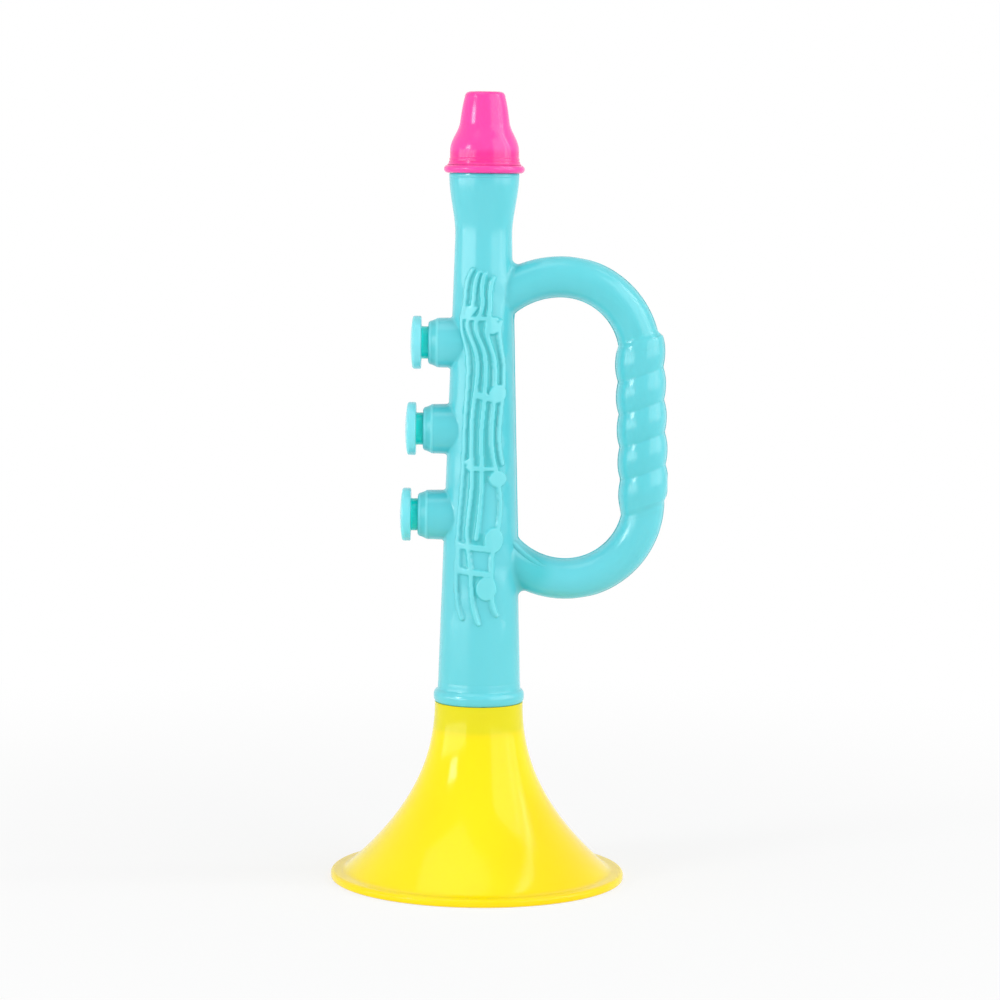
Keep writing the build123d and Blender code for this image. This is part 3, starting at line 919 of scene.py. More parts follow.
@dataclass
class Bell:
    """Flared horn with a bead round its rim.

    Attributes:
        finish: Its material.
        wall: Thickness of the flare's wall, in millimetres like the rest.
        lip_width: Width of the bead's flat top.
        lip_thickness: Height of the bead.
        lip_radius: Round of the bead's upper edge.
        lip_foot_radius: Round of its lower edge.
        crease_radius: Hollow between the flare and the bead.
        slope_foot: Height over the bead at which the flare's slope is felt.
        slope_span: Height over which it is felt.
        socket_length: Depth of the sleeve over the body's spigot.
        socket_radius: Its inner radius.
        rim_gap: Height over the rim that the inner outline leaves out.
        ledge_gap: Height under the sleeve's ledge that it leaves out.
        rings: Rings along the flare.
        top_gap: How far the highest of them lies under the top.
    """

    finish: bpy.types.Material
    wall: float = 1.2
    lip_width: float = 2.9
    lip_thickness: float = 1.7
    lip_radius: float = 0.8
    lip_foot_radius: float = 0.35
    crease_radius: float = 1.7
    slope_foot: float = 2.2
    slope_span: float = 0.6
    socket_length: float = 6.0
    socket_radius: float = 8.25
    rim_gap: float = 0.5
    ledge_gap: float = 1.0
    rings: int = 44
    top_gap: float = 0.01

    def build(self) -> list[bpy.types.Object]:
        """Turns the bell and puts it in place of its CAD node.

        Returns:
            The bell.
        """
        low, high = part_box("bell")
        rim, top = min(-low.x, -low.y, high.x, high.y) / MM, high.z / MM
        probe = Probe("bell")
        fall = probe.radius(self.slope_foot) - probe.radius(self.slope_foot + self.slope_span)
        slope = math.atan2(fall, self.slope_span)
        foot = self.lip_thickness + self.crease_radius * (1 - math.sin(slope))
        heights = np.linspace(top - self.top_gap, foot, self.rings)
        flare = [(probe.radius(z), z) for z in heights]
        outline = flare + self._lip(rim, flare[-1][0], slope) + self._inside(rim, flare)
        piece = turned("bell_horn", outline + [(self.socket_radius, top)])
        dress(piece, self.finish)
        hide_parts("bell")
        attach(piece, TRUMPET)
        return [piece]

    def _lip(self, rim: float, foot: float, slope: float) -> list[Point]:
        """Outline of the crease over the bead and of the bead's round edges.

        Args:
            rim: Radius of the bead.
            foot: Radius of the flare's foot.
            slope: Angle of the flare's foot from upright, in radians.

        Returns:
            The outline, from the flare outwards.
        """
        crease = self.crease_radius
        middle = (foot + crease * math.cos(slope), self.lip_thickness + crease)
        upper = (rim - self.lip_radius, self.lip_thickness - self.lip_radius)
        lower = (rim - self.lip_foot_radius, self.lip_foot_radius)
        outline = arc(middle, crease, 180 + math.degrees(slope), 270, 5)[1:]
        outline += arc(upper, self.lip_radius, 90, 0)
        return outline + arc(lower, self.lip_foot_radius, 0, -90, 5)

    def _inside(self, rim: float, flare: list[Point]) -> list[Point]:
        """Inner outline from the rim up to the socket's ledge, one wall inside the flare.

        Args:
            rim: Radius of the bead.
            flare: Outline of the flare, from its top down.

        Returns:
            The inner outline, from the rim up.
        """
        outer = np.array(flare[::-1])
        along = np.gradient(outer, axis=0)
        normal = np.stack([-along[:, 1], along[:, 0]], 1)
        normal /= np.linalg.norm(normal, axis=1)[:, None]
        ledge = flare[0][1] - self.socket_length
        inner = [
            (float(radius), float(height))
            for radius, height in outer + normal * self.wall
            if self.rim_gap < height < ledge - self.ledge_gap and radius > self.socket_radius
        ]
        return [(rim - self.lip_width, 0.0), *inner, (self.socket_radius, ledge)]


@dataclass
class Mouthpiece:
    """Blow piece with a rolled flange, a domed skirt, a neck and a rounded tip.

    Attributes:
        finish: Its material.
        flange_round: Round of the flange's edge, in millimetres like the rest.
        flange_thickness: Its thickness.
        foot_rings: First and last height over the flange of the rings next to it, and their count.
        skirt_rings: Height over the flange of the skirt's first ring, and count up to the tip.
        steps: Heights over the flange's foot and depths of the fine steps round the skirt.
        step_rise: Half of the height in which a fine step falls away.
        hole_radius: Radius of the blow hole.
        hole_round: Round of its edge.
        tip_radius: Round of the tip.
        tip_taper: How far the neck is drawn in just under the tip.
        taper_length: Length of the neck that is drawn in.
        wall: Thickness of the wall.
        inner_rings: Distances from the tip's wall and from the ledge between which the inner rings
            lie, and their count.
        socket_radius: Radius of the socket over the body's spigot.
        socket_length: Its depth, up to the ledge over the reed holder.
        ledge: Width of that ledge.
    """

    finish: bpy.types.Material
    flange_round: float = 0.85
    flange_thickness: float = 1.7
    foot_rings: tuple[float, float, int] = (0.05, 0.7, 6)
    skirt_rings: tuple[float, int] = (1.7, 38)
    steps: tuple[Point, ...] = ((2.45, 0.13), (3.15, 0.11))
    step_rise: float = 0.03
    hole_radius: float = 3.0
    hole_round: float = 0.3
    tip_radius: float = 1.1
    tip_taper: float = 0.35
    taper_length: float = 4.5
    wall: float = 1.15
    inner_rings: tuple[float, float, int] = (1.0, 0.6, 22)
    socket_radius: float = 6.3
    socket_length: float = 5.4
    ledge: float = 0.7

    def build(self) -> list[bpy.types.Object]:
        """Turns the mouthpiece and puts it in place of its CAD node.

        Returns:
            The mouthpiece.
        """
        low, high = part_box("mouthpiece")
        flange, base, top = high.x / MM, low.z / MM, high.z / MM
        probe = Probe("mouthpiece")
        outline = [(self.socket_radius, base)]
        edge = (flange - self.flange_round, base + self.flange_round)
        outline += arc(edge, self.flange_round, -90, 90, 12)
        outline += self._outside(probe, base, top)
        tip = outline[-1][0]
        outline += arc((tip - self.tip_radius, top - self.tip_radius), self.tip_radius, 12, 90)
        hole = (self.hole_radius + self.hole_round, top - self.hole_round)
        outline += arc(hole, self.hole_round, 90, 180, 4)
        outline += self._inside(probe, base, top)
        piece = turned("mouthpiece_shell", outline)
        dress(piece, self.finish)
        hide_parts("mouthpiece")
        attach(piece, TRUMPET)
        return [piece]

    def _outside(self, probe: Probe, base: float, top: float) -> list[Point]:
        """Outline of the skirt and the neck, with the fine steps, from the flange to the tip.

        Args:
            probe: Feels the CAD node.
            base: Height of the flange's foot.
            top: Height of the tip.

        Returns:
            The outline, from the flange up.
        """
        skirt = base + self.flange_thickness
        first, last, count = self.foot_rings
        heights = set(np.linspace(skirt + first, skirt + last, count))
        first, count = self.skirt_rings
        heights |= set(np.linspace(skirt + first, top - self.tip_radius, count))
        for height, _ in self.steps:
            heights |= {base + height - self.step_rise, base + height + self.step_rise}
        outline = []
        for height in sorted(heights):
            near_tip = max(0.0, (height - top) / self.taper_length + 1)
            cut = sum(depth for step, depth in self.steps if height > base + step)
            radius = probe.radius(height) - near_tip**2 * self.tip_taper - cut
            outline.append((radius, height))
        return outline

    def _inside(self, probe: Probe, base: float, top: float) -> list[Point]:
        """Inner outline, one wall inside the skirt and the neck, with the ledge over the socket.

        Args:
            probe: Feels the CAD node.
            base: Height of the flange's foot.
            top: Height of the tip.

        Returns:
            The outline, from the tip down.
        """
        shoulder, widest = base + self.socket_length, self.socket_radius - self.ledge
        under, over, count = self.inner_rings
        outline = [(self.hole_radius, top - self.wall)]
        for height in np.linspace(top - self.wall - under, shoulder + over, count):
            inner = min(probe.radius(height) - self.wall, widest)
            outline.append((max(self.hole_radius, inner), float(height)))
        return outline + [(widest, shoulder), (self.socket_radius, shoulder)]


@dataclass
class FingerButtons:
    """Three finger buttons, modelled once and copied onto the three bodies.

    Attributes:
        finish: Their material.
        head_thickness: Thickness of the head at its edge, in millimetres like the rest.
        head_crown: How far its outer face is domed.
        crown_rings: Rings of that dome, as shares of the face's radius.
        edge_radius: Round of its outer edge.
        inner_radius: Round of its inner edge.
        stem_radius: Radius of the stem.
        stem_root: Hollow between the stem and the head.
        stem_margin: How near a point lies to the stem to get the stem's painted shade.
        collar_lip: How far the collar stands out from the stem.
        collar_drop: Length of the stem from the head to the collar.
        collar_thickness: Thickness of the collar.
        nub_radius: Radius of the nub that centres the spring.
    """

    finish: bpy.types.Material
    head_thickness: float = 1.9
    head_crown: float = 0.45
    crown_rings: tuple[float, ...] = (0.92, 0.82, 0.7, 0.56, 0.42, 0.28, 0.14, 0.03)
    edge_radius: float = 0.5
    inner_radius: float = 0.3
    stem_radius: float = 3.45
    stem_root: float = 0.25
    stem_margin: float = 0.1
    collar_lip: float = 0.58
    collar_drop: float = 2.7
    collar_thickness: float = 1.0
    nub_radius: float = 2.4

    def build(self) -> list[bpy.types.Object]:
        """Turns one button, copies it and places each copy over its CAD node.

        Returns:
            The three buttons.
        """
        model = self._model()
        made = []
        for name in BUTTONS:
            low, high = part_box(name)
            place = Vector((low.x, 0, (low.z + high.z) / 2))
            piece = copied(model, f"{name}_cap", place)
            dress(piece, self.finish)
            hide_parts(name)
            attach(piece, name)
            made.append(piece)
        bpy.data.objects.remove(model)
        return made

    def _model(self) -> bpy.types.Object:
        """Turns a button whose crown lies at the origin, with painted shade on its stem.

        Returns:
            The button, pointing to -X.
        """
        model = turned("button_model", self._outline(), closed=False)
        foot = -self.head_crown - self.head_thickness - self.stem_margin
        widest = self.stem_radius + self.stem_margin
        places = [v.co / MM for v in model.data.vertices]
        # Points of the stem, which get the painted shade of the gap under the head
        stem = [float(place.z < foot and math.hypot(place.x, place.y) < widest) for place in places]
        paint(model, "stem", np.array(stem))
        laid_over(model)
        return model

    def _outline(self) -> list[Point]:
        """Outline from the nub's end up to the crown, whose top is at height zero.

        Returns:
            The outline.
        """
        low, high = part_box(BUTTONS[0])
        head = (high.z - low.z) / 2 / MM
        depth = (high.x - low.x) / MM
        rim_top = -self.head_crown
        head_foot = rim_top - self.head_thickness
        collar = self.stem_radius + self.collar_lip
        collar_top = head_foot - self.collar_drop
        collar_foot = collar_top - self.collar_thickness
        root = (self.stem_radius + self.stem_root, head_foot - self.stem_root)
        inner = (head - self.inner_radius, head_foot + self.inner_radius)
        outer = (head - self.edge_radius, rim_top - self.edge_radius)
        outline = [(self.nub_radius, -depth), (self.nub_radius, collar_foot), (collar, collar_foot)]
        outline += [(collar, collar_top), (self.stem_radius, collar_top)]
        outline += arc(root, self.stem_root, 180, 90, 4)
        outline += arc(inner, self.inner_radius, -90, 0, 5)
        outline += arc(outer, self.edge_radius, 0, 75, 6)
        face, crown = outline[-1]
        return outline + [(face * share, crown * share**2) for share in self.crown_rings]


@dataclass
class BodyShells:
    """The two blue half shells, which keep their CAD shapes.

    Attributes:
        finish: Their material.
    """

    finish: bpy.types.Material

    def build(self) -> list[bpy.types.Object]:
        """Dresses the shells."""
        return [dress_node(name, self.finish) for name in SHELLS]


@dataclass
class MusicRelief:
    """Soft stave and notes on a slightly raised ground with painted shade, grown over the slimmer
    ones of the front shell.

    Attributes:
        finish: Its material, with painted highlight on its crests and painted shade between them.
        shells: Feels the shells.
        span: Heights of its lower and upper border, in millimetres like the rest.
        half_width: Half of the width that it is looked for in.
        grain: Spacing of its points.
        least_rise: How far a line of the shell stands out of the round tube at least.
        rise: How far the relief stands out.
        sink: How far its skirt lies under the wall.
        spread: Softness of its edges.
        full_share: Share of blurred lines at which they are at their full height.
        ground_reach: Half of the widest gap between two raised lines whose ground is filled in,
            with painted shade.
        ground_spread: Softness of the ground's edge, as a multiple of the lines'.
        ground_rise: How far the relief's sheet stands out on that ground, its sink included.
        ground_gain: How soon the sheet rises to the ground from its edge.
        shade: Places across the tube between which the painted highlight and shade fade in; towards
            the lit left side there are none.
        least_share: Share of a line or of the ground under which there is no sheet.
    """

    finish: bpy.types.Material
    shells: Probe
    span: Point = (52.0, 134.0)
    half_width: float = 5.8
    grain: float = 0.15
    least_rise: float = 0.07
    rise: float = 0.55
    sink: float = 0.05
    spread: float = 0.19
    full_share: float = 0.62
    ground_reach: float = 1.05
    ground_spread: float = 1.4
    ground_rise: float = 0.08
    ground_gain: float = 1.6
    shade: Point = (-4.2, -2.2)
    least_share: float = 0.03

    # How far from the trumpet's axis the rays start that feel the lines
    OUTSIDE = 40

    def build(self) -> list[bpy.types.Object]:
        """Feels the shell's lines and lays the relief over them.

        Returns:
            The relief.
        """
        xs = np.arange(-self.half_width, self.half_width, self.grain)
        zs = np.arange(*self.span, self.grain)
        radii = np.array([self.shells.radius(z) for z in zs])
        marks = [[self._is_line(x, z, radius) for x in xs] for z, radius in zip(zs, radii)]
        marks = np.array(marks, dtype=float)
        cells = self.spread / self.grain
        lines = np.clip(self._blurred(marks, cells) / self.full_share, 0, 1)
        filled = self._closed(marks, round(self.ground_reach / self.grain))
        ground = self._blurred(filled, self.ground_spread * cells)
        rise = self.rise * (1 - (1 - lines) ** 2) - self.sink
        rise += self.ground_rise * np.clip(self.ground_gain * ground, 0, 1)
        across, up = np.meshgrid(xs, zs)
        radius = radii[:, None]
        scale = (radius + rise) / radius
        points = np.stack([across * scale, -np.sqrt(radius**2 - across**2) * scale, up], 2) * MM
        # Painted highlight on the crests and painted shade on the ground, faded out towards the lit
        # left side
        lit = np.interp(xs, self.shade, (0, 1))
        between = np.clip(2 * ground - 1, 0, 1) * (1 - lines)
        shares = {"crest": lines**2 * lit, "ground": between * lit}
        kept = np.maximum(lines, ground) > self.least_share
        return [sheet("music_relief", points, kept, shares, self.finish)]

    def _is_line(self, across: float, height: float, radius: float) -> bool:
        """Whether the shell stands out of the round tube in front, where its plain back doesn't."""
        front = self._stands_out(across, height, radius, -1)
        return front and not self._stands_out(across, height, radius, 1)

    def _stands_out(self, across: float, height: float, radius: float, side: int) -> bool:
        """Whether the shell stands out of the round tube.

        Args:
            across: Place across the tube in millimetres.
            height: Height in millimetres.
            radius: Radius of the round tube there.
            side: -1 for the front, 1 for the back.

        Returns:
            Whether it does.
        """
        start = Vector((across, side * self.OUTSIDE, height)) * MM
        point = self.shells.hit(start, Vector((0, -side, 0)))
        return point is not None and math.hypot(point.x, point.y) / MM > radius + self.least_rise

    def _blurred(self, marks: np.ndarray, width: float) -> np.ndarray:
        """Blurs a picture of ones and zeros.

        Args:
            marks: The picture.
            width: Width of the blur in cells.

        Returns:
            The blurred picture.
        """
        weights = bell_curve(width, int(3 * width) + 1)
        for axis in (0, 1):
            marks = np.apply_along_axis(np.convolve, axis, marks, weights, "same")
        return marks

    def _closed(self, marks: np.ndarray, reach: int) -> np.ndarray:
        """Fills the narrow gaps of a picture of ones and zeros.

        Args:
            marks: The picture.
            reach: Half of the widest gap that is filled, in cells.

        Returns:
            The filled picture.
        """
        marks = np.pad(marks, reach)
        square = itertools.product(range(-reach, reach + 1), repeat=2)
        disc = [offset for offset in square if math.hypot(*offset) <= reach]
        for choose in (np.maximum, np.minimum):
            marks = choose.reduce([np.roll(marks, offset, (0, 1)) for offset in disc])
        return marks[reach:-reach, reach:-reach]


@dataclass
class HandleTrim:
    """Parting line round the handle, soft rib on its lower root and ramps at the grip's ends.

    Attributes:
        finish: Material of the parting line and the rib.
        ramp_finish: Material of the ramps.
        shells: Feels the shells.
        opening: Middle of the handle's opening, across and up, in millimetres like the rest.
        parting: Place of the parting line from the front to the back.
        outside: Distance from the opening's middle at which rays from outside start.
        seam_radius: Half of the width of the parting line's bead.
        seam_bury: Share of that radius that lies under the surface.
        seam_pace: Degrees between the points of the inner line.
        seam_end: Angle up and down from the grip at which the outer line runs out.
        seam_taper: Degrees in which it runs out.
        seam_tip: Share of the radius that is left at its ends.
        rib_knots: Places across and up the handle's lower root that the soft rib passes.
        rib_points: Points along the rib.
        rib_radius: Half of its width.
        rib_bury: How much deeper it starts under the tube's skin, as a share of that radius.
        rib_rise: How far it stands out.
        rib_fade: Share of its length in which it rises out of the tube.
        rib_start: Share of its width at its start.
        rib_taper: Share of its width that is lost towards its end.
        rib_reach: Neighbours on each side that even out the rib's line.
        ramps: Name of each ramp, the heights between which its step and the surroundings lie, and 1
            where the plain bar lies above the step or -1 where it lies below.
        ramp_pace: Spacing of the heights at which the bar is felt.
        ramp_rays: Rays that feel it all round, the first and the last one at the same place.
        ramp_margin: Felt heights at each end of a span in which no step is looked for.
        ramp_window: Felt heights over which a step falls.
        ramp_reach: Where a ramp starts on the grip and ends on the bar, from the step.
        ramp_rings: Spacing of its rings.
        ramp_spread: Softness of the ramps from the grip's two ends down to the bar.
        ramp_shift: How far the ramps reach past the ends.
        ramp_grow: Length before the step in which that reach grows.
        ramp_fade: Length in which the ramps' borders run out under the skin.
        ramp_skin: How far a ramp lies over the skin, and its borders under it.
    """

    finish: bpy.types.Material
    ramp_finish: bpy.types.Material
    shells: Probe
    opening: Point = (17.5, 97.0)
    parting: float = -0.06
    outside: float = 90.0
    seam_radius: float = 0.2
    seam_bury: float = 0.25
    seam_pace: float = 1.5
    seam_end: float = 88.0
    seam_taper: float = 10.0
    seam_tip: float = 0.1
    rib_knots: tuple[Point, ...] = (
        (5.9, 73.7), (7.2, 72.3), (8.66, 70.8), (10.59, 69.3), (12.52, 68.1), (14.44, 67.3),
    )
    rib_points: int = 28
    rib_radius: float = 0.95
    rib_bury: float = 0.5
    rib_rise: float = 0.45
    rib_fade: float = 0.2
    rib_start: float = 0.35
    rib_taper: float = 0.6
    rib_reach: int = 2
    ramps: tuple[tuple[str, Point, int], ...] = (
        ("grip_top_ramp", (109.5, 122.0), 1),
        ("grip_foot_ramp", (73.0, 86.0), -1),
    )
    ramp_pace: float = 0.1
    ramp_rays: int = 97
    ramp_margin: int = 30
    ramp_window: int = 4
    ramp_reach: Point = (-2.1, 2.9)
    ramp_rings: float = 0.125
    ramp_spread: float = 0.45
    ramp_shift: float = 0.45
    ramp_grow: float = 1.5
    ramp_fade: float = 0.9
    ramp_skin: float = 0.025

    # Starts of rays, in millimetres: before the handle, beside it, and from the bar's middle
    BEFORE, BESIDE, ROUND_BAR = -40, 80, 14

    def build(self) -> list[bpy.types.Object]:
        """Adds both parting lines, the rib and the ramps."""
        return [*self._seams(), self._root_rib(), *(self._ramp(*ramp) for ramp in self.ramps)]

    def _seams(self) -> list[bpy.types.Object]:
        """Makes the fine beads of the parting line, inside and outside the handle.

        Returns:
            Both beads.
        """
        centre = Vector((self.opening[0], self.parting, self.opening[1])) * MM
        reach = self.outside * MM
        inner, outer = [], []
        for angle in np.radians(np.arange(0, 360, self.seam_pace)):
            ray = Vector((math.cos(angle), 0, math.sin(angle)))
            inner.append(self._buried(self.shells.hit(centre, ray), -ray))
        turn = np.arange(-self.seam_end, self.seam_end + 1)
        for angle in np.radians(turn):
            ray = Vector((math.cos(angle), 0, math.sin(angle)))
            outer.append(self._buried(self.shells.hit(centre + ray * reach, -ray), ray))
        shares = np.clip((self.seam_end - np.abs(turn)) / self.seam_taper, self.seam_tip, 1)
        even, tapered = [self.seam_radius] * len(inner), list(self.seam_radius * shares)
        return [
            bead("parting_line_inner", inner, even, True, self.finish),
            bead("parting_line_outer", outer, tapered, False, self.finish),
        ]

    def _buried(self, place: Vector, out: Vector) -> Vector:
        """Middle of the parting line's bead under a point of the surface, inside the part's box.

        Args:
            place: The point.
            out: Direction out of the surface.

        Returns:
            The middle.
        """
        middle = place - out * self.seam_radius * self.seam_bury * MM
        edge = cad_box[1][0] - self.seam_radius * MM
        return Vector((min(middle.x, edge), 0, middle.z))

    def _root_rib(self) -> bpy.types.Object:
        """Makes the soft rib that runs from the tube down onto the handle's lower root.

        Returns:
            The rib.
        """
        stations = np.linspace(0, 1, len(self.rib_knots))
        along = np.linspace(0, 1, self.rib_points)
        across, up = (np.interp(along, stations, knots) for knots in zip(*self.rib_knots))
        emerged = np.clip(along / self.rib_fade, 0, 1)
        line = []
        for x, z, rise in zip(across, up, emerged):
            place = self.shells.hit(Vector((x, self.BEFORE, z)) * MM, Vector((0, 1, 0)))
            depth = self.rib_radius * (1 + self.rib_bury * (1 - rise)) - self.rib_rise * rise
            line.append(place + Vector((0, depth * MM, 0)))
        even = []
        for index in range(len(line)):
            near = line[max(index - self.rib_reach, 0):index + self.rib_reach + 1]
            even.append(sum(near, Vector()) / len(near))
        widths = self.rib_radius * (self.rib_start + (1 - self.rib_start) * emerged)
        widths *= 1 - self.rib_taper * along**3
        return bead("handle_root_rib", even, list(widths), False, self.finish)

    def _ramp(self, name: str, span: Point, side: int) -> bpy.types.Object:
        """Makes the soft ramp round the bar at one end of the grip.

        Args:
            name: Name of the piece.
            span: Heights in millimetres between which the step and its surroundings lie.
            side: 1 where the plain bar lies above the step, -1 where it lies below.

        Returns:
            The ramp.
        """
        heights = np.arange(*span, self.ramp_pace)
        middles = [self._bar_middle(z) for z in heights]
        middles = np.polynomial.Polynomial.fit(heights, middles, 3)(heights)
        angles = np.radians(np.linspace(0, 360, self.ramp_rays))
        felt = [[self._bar_radius(x, z, a) for x, z in zip(middles, heights)] for a in angles]
        felt = np.array(felt)
        steps = self._step_heights(heights, angles, felt * side)
        width = self.ramp_spread / self.ramp_pace
        weights = bell_curve(width, int(3 * width))
        reach = len(weights) // 2
        soft = [np.convolve(np.pad(row, reach, "edge"), weights, "valid") for row in felt]
        past = np.arange(*self.ramp_reach, self.ramp_rings)
        rings = []
        for at in past[::side]:
            border = min((at - past[0]) / self.ramp_fade, (past[-1] - at) / self.ramp_fade, 1)
            shift = self.ramp_shift * np.clip((at + self.ramp_grow) / self.ramp_grow, 0, 1)
            ring = []
            for angle, step, hard_row, soft_row in zip(angles, steps, felt, soft):
                z = step + side * at
                skin = np.interp(z, heights, hard_row)
                lift = max(0, np.interp(z - side * shift, heights, soft_row) - skin)
                radius = skin + lift * border + self.ramp_skin * (2 * border - 1)
                x = np.interp(z, heights, middles) + radius * math.cos(angle)
                ring.append((x, radius * math.sin(angle), z))
            rings.append(ring)
        points = np.array(rings) * MM
        points[..., 0] = np.minimum(points[..., 0], cad_box[1][0])
        return sheet(name, points, np.ones(points.shape[:2], dtype=bool), {}, self.ramp_finish)

    def _step_heights(
        self, heights: np.ndarray, angles: np.ndarray, felt: np.ndarray
    ) -> np.ndarray:
        """Heights of the grip's end round the bar, evened out to one slanted plane.

        Args:
            heights: Heights at which the bar was felt.
            angles: Directions in which it was felt.
            felt: Its radii, a row for each direction, negative where the bar lies below the step.

        Returns:
            The step's height in each direction.
        """
        window, inner = self.ramp_window, slice(self.ramp_margin, len(heights) - self.ramp_margin)
        falls = (felt[:, :-window] - felt[:, window:])[:, inner]
        steps = heights[inner][np.argmax(falls, axis=1) + window // 2]
        basis = np.stack([np.ones_like(angles), np.cos(angles), np.sin(angles)], 1)
        return basis @ np.linalg.lstsq(basis, steps, rcond=None)[0]

    def _bar_radius(self, middle: float, height: float, angle: float) -> float:
        """Distance in millimetres from the bar's middle out to its skin, level, at an angle."""
        start, out = Vector((middle, 0, height)) * MM, Vector((math.cos(angle), math.sin(angle), 0))
        return (self.shells.hit(start + out * self.ROUND_BAR * MM, -out) - start).length / MM

    def _bar_middle(self, height: float) -> float:
        """Place of the bar's middle across the trumpet at a height, both in millimetres.

        Args:
            height: The height.

        Returns:
            The place.
        """
        inner, outer = (
            self.shells.hit(Vector((x, self.parting, height)) * MM, Vector((way, 0, 0))).x
            for x, way in ((self.opening[0], 1), (self.BESIDE, -1))
        )
        return (inner + outer) / 2 / MM


@dataclass
class CasingEnds:
    """Each casing's end face with its fine rim and the bead round its shoulder, painted with
    highlight and shade.

    Attributes:
        finish: Their material.
        shells: Feels the shells.
        drop: Distance from a button's crown to its casing's end face, in millimetres like the rest.
        profile: Outline of the end: distances behind the end face and under the casing's skin.
        tones: Distances behind the end face, 1 for painted highlight on the rim and the bead there
            and -1 for painted shade on the cone between.
        skin_place: Where the ray starts that feels the casing's skin, from the end face's middle.
    """

    finish: bpy.types.Material
    shells: Probe
    drop: float = 3.85
    profile: tuple[Point, ...] = (
        (-0.02, 1.25), (0.0, 1.12), (0.08, 0.95), (0.18, 0.82), (0.32, 0.71), (0.48, 0.645),
        (0.7, 0.615), (0.9, 0.535), (1.3, 0.36), (1.6, 0.23), (1.68, 0.15), (1.78, 0.085),
        (1.9, 0.06), (2.02, 0.065), (2.12, 0.02), (2.3, 0.05), (2.3, 0.5), (0.9, 1.0), (0.3, 1.25),
    )
    tones: tuple[Point, ...] = (
        (0.1, 0.2), (0.2, 1), (0.4, 1), (0.6, -0.7), (1.55, -0.7), (1.7, 1), (2.0, 1), (2.15, 0),
    )
    skin_place: tuple[float, float, float] = (2.6, 0, 20)

    def build(self) -> list[bpy.types.Object]:
        """Turns one end, copies it and places each copy on its casing.

        Returns:
            The three ends.
        """
        places = [self._place(name) for name in BUTTONS]
        model = self._model(places[0])
        made = []
        for name, place in zip(BUTTONS, places):
            piece = copied(model, name.replace("button", "casing_end"), place)
            dress(piece, self.finish)
            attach(piece, TRUMPET)
            made.append(piece)
        bpy.data.objects.remove(model)
        return made

    def _place(self, name: str) -> Vector:
        """Middle of the end face of a button's casing, in metres."""
        low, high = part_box(name)
        return Vector((low.x + self.drop * MM, 0, (low.z + high.z) / 2))

    def _model(self, place: Vector) -> bpy.types.Object:
        """Turns an end whose face lies at the origin, with painted highlight and shade.

        Args:
            place: Middle of an end face, where the casing's skin is felt.

        Returns:
            The end, pointing to -X.
        """
        crest = self.shells.hit(place + Vector(self.skin_place) * MM, Vector((0, 0, -1)))
        skin = (crest.z - place.z) / MM
        model = turned("casing_model", [(skin - under, -behind) for behind, under in self.profile])
        behind = np.array([-v.co.z / MM for v in model.data.vertices])
        # Painted highlight on the rim and the bead, painted shade on the cone between them
        tone = np.interp(behind, *zip(*self.tones))
        paint(model, "crest", np.clip(tone, 0, 1))
        paint(model, "ground", np.clip(-tone, 0, 1))
        laid_over(model)
        return model


@dataclass
class TubeRims:
    """Ring over the bell and the tube's upper rim under the mouthpiece.

    Attributes:
        finish: Their material.
        foot_ring: Outline of the ring: radii, and heights over the bell's top, in millimetres.
        top_rim: Outline of the upper rim: radii, and heights over the mouthpiece's foot.
    """

    finish: bpy.types.Material
    foot_ring: tuple[Point, ...] = (
        (8.6, 0.02), (9.22, 0.02), (9.36, 0.1), (9.47, 0.28), (9.59, 0.5), (9.68, 0.9), (9.7, 1.4),
        (9.68, 1.8), (9.56, 2.2), (9.32, 2.54), (9.05, 2.74), (8.9, 2.9), (8.85, 3.1), (8.83, 3.7),
        (8.8, 4.3), (8.7, 4.9), (8.4, 4.9), (8.3, 2.2),
    )
    top_rim: tuple[Point, ...] = (
        (7.1, -1.3), (7.4, -0.95), (7.43, -0.7), (7.43, -0.2), (7.38, -0.06), (7.27, -0.02),
        (6.6, -0.02),
    )

    def build(self) -> list[bpy.types.Object]:
        """Turns both rims.

        Returns:
            The rims.
        """
        bell_top, tube_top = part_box("bell")[1].z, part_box("mouthpiece")[0].z
        made = []
        for name, foot, outline in (
            ("foot_ring_skin", bell_top / MM, self.foot_ring),
            ("tube_top_rim", tube_top / MM, self.top_rim),
        ):
            piece = turned(name, [(radius, foot + rise) for radius, rise in outline])
            dress(piece, self.finish)
            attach(piece, TRUMPET)
            made.append(piece)
        return made


@dataclass
class ReedAndSprings:
    """Small inner pieces, which keep their CAD shapes.

    Attributes:
        plastic: Finish of the reed's holder and clip.
        film: Finish of the reed itself.
        steel: Finish of the springs.
        merge_reach: How near two points of a spring's loose triangles are one, in millimetres.
    """

    plastic: bpy.types.Material
    film: bpy.types.Material
    steel: bpy.types.Material
    merge_reach: float = 0.0005

    def build(self) -> list[bpy.types.Object]:
        """Dresses the reed's nodes and makes the three springs.

        Returns:
            The pieces.
        """
        reed = [dress_node(name, self.plastic) for name in ("reed_holder", "reed_clip")]
        reed.append(dress_node("reed_tongue", self.film))
        return reed + [self._coil(spring, button) for spring, button in zip(SPRINGS, BUTTONS)]

    def _coil(self, spring: str, button: str) -> bpy.types.Object:
        """Takes a spring's wire over as a piece of its own.

        Args:
            spring: Name of the spring's CAD node.
            button: Name of the button that presses it. Not used.

        Returns:
            The spring's piece.
        """
        piece = added(f"{spring}_coil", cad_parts[spring].data.copy())
        bpy.ops.object.mode_set(mode="EDIT")
        bpy.ops.mesh.select_mode(type="VERT")
        bpy.ops.mesh.select_all(action="SELECT")
        bpy.ops.mesh.remove_doubles(threshold=self.merge_reach * MM)
        bpy.ops.object.mode_set(mode="OBJECT")
        smooth(WIRE_EDGE)
        settle(piece)
        dress(piece, self.steel)
        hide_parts(spring)
        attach(piece, TRUMPET)
        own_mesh(piece)
        return piece


# Studio


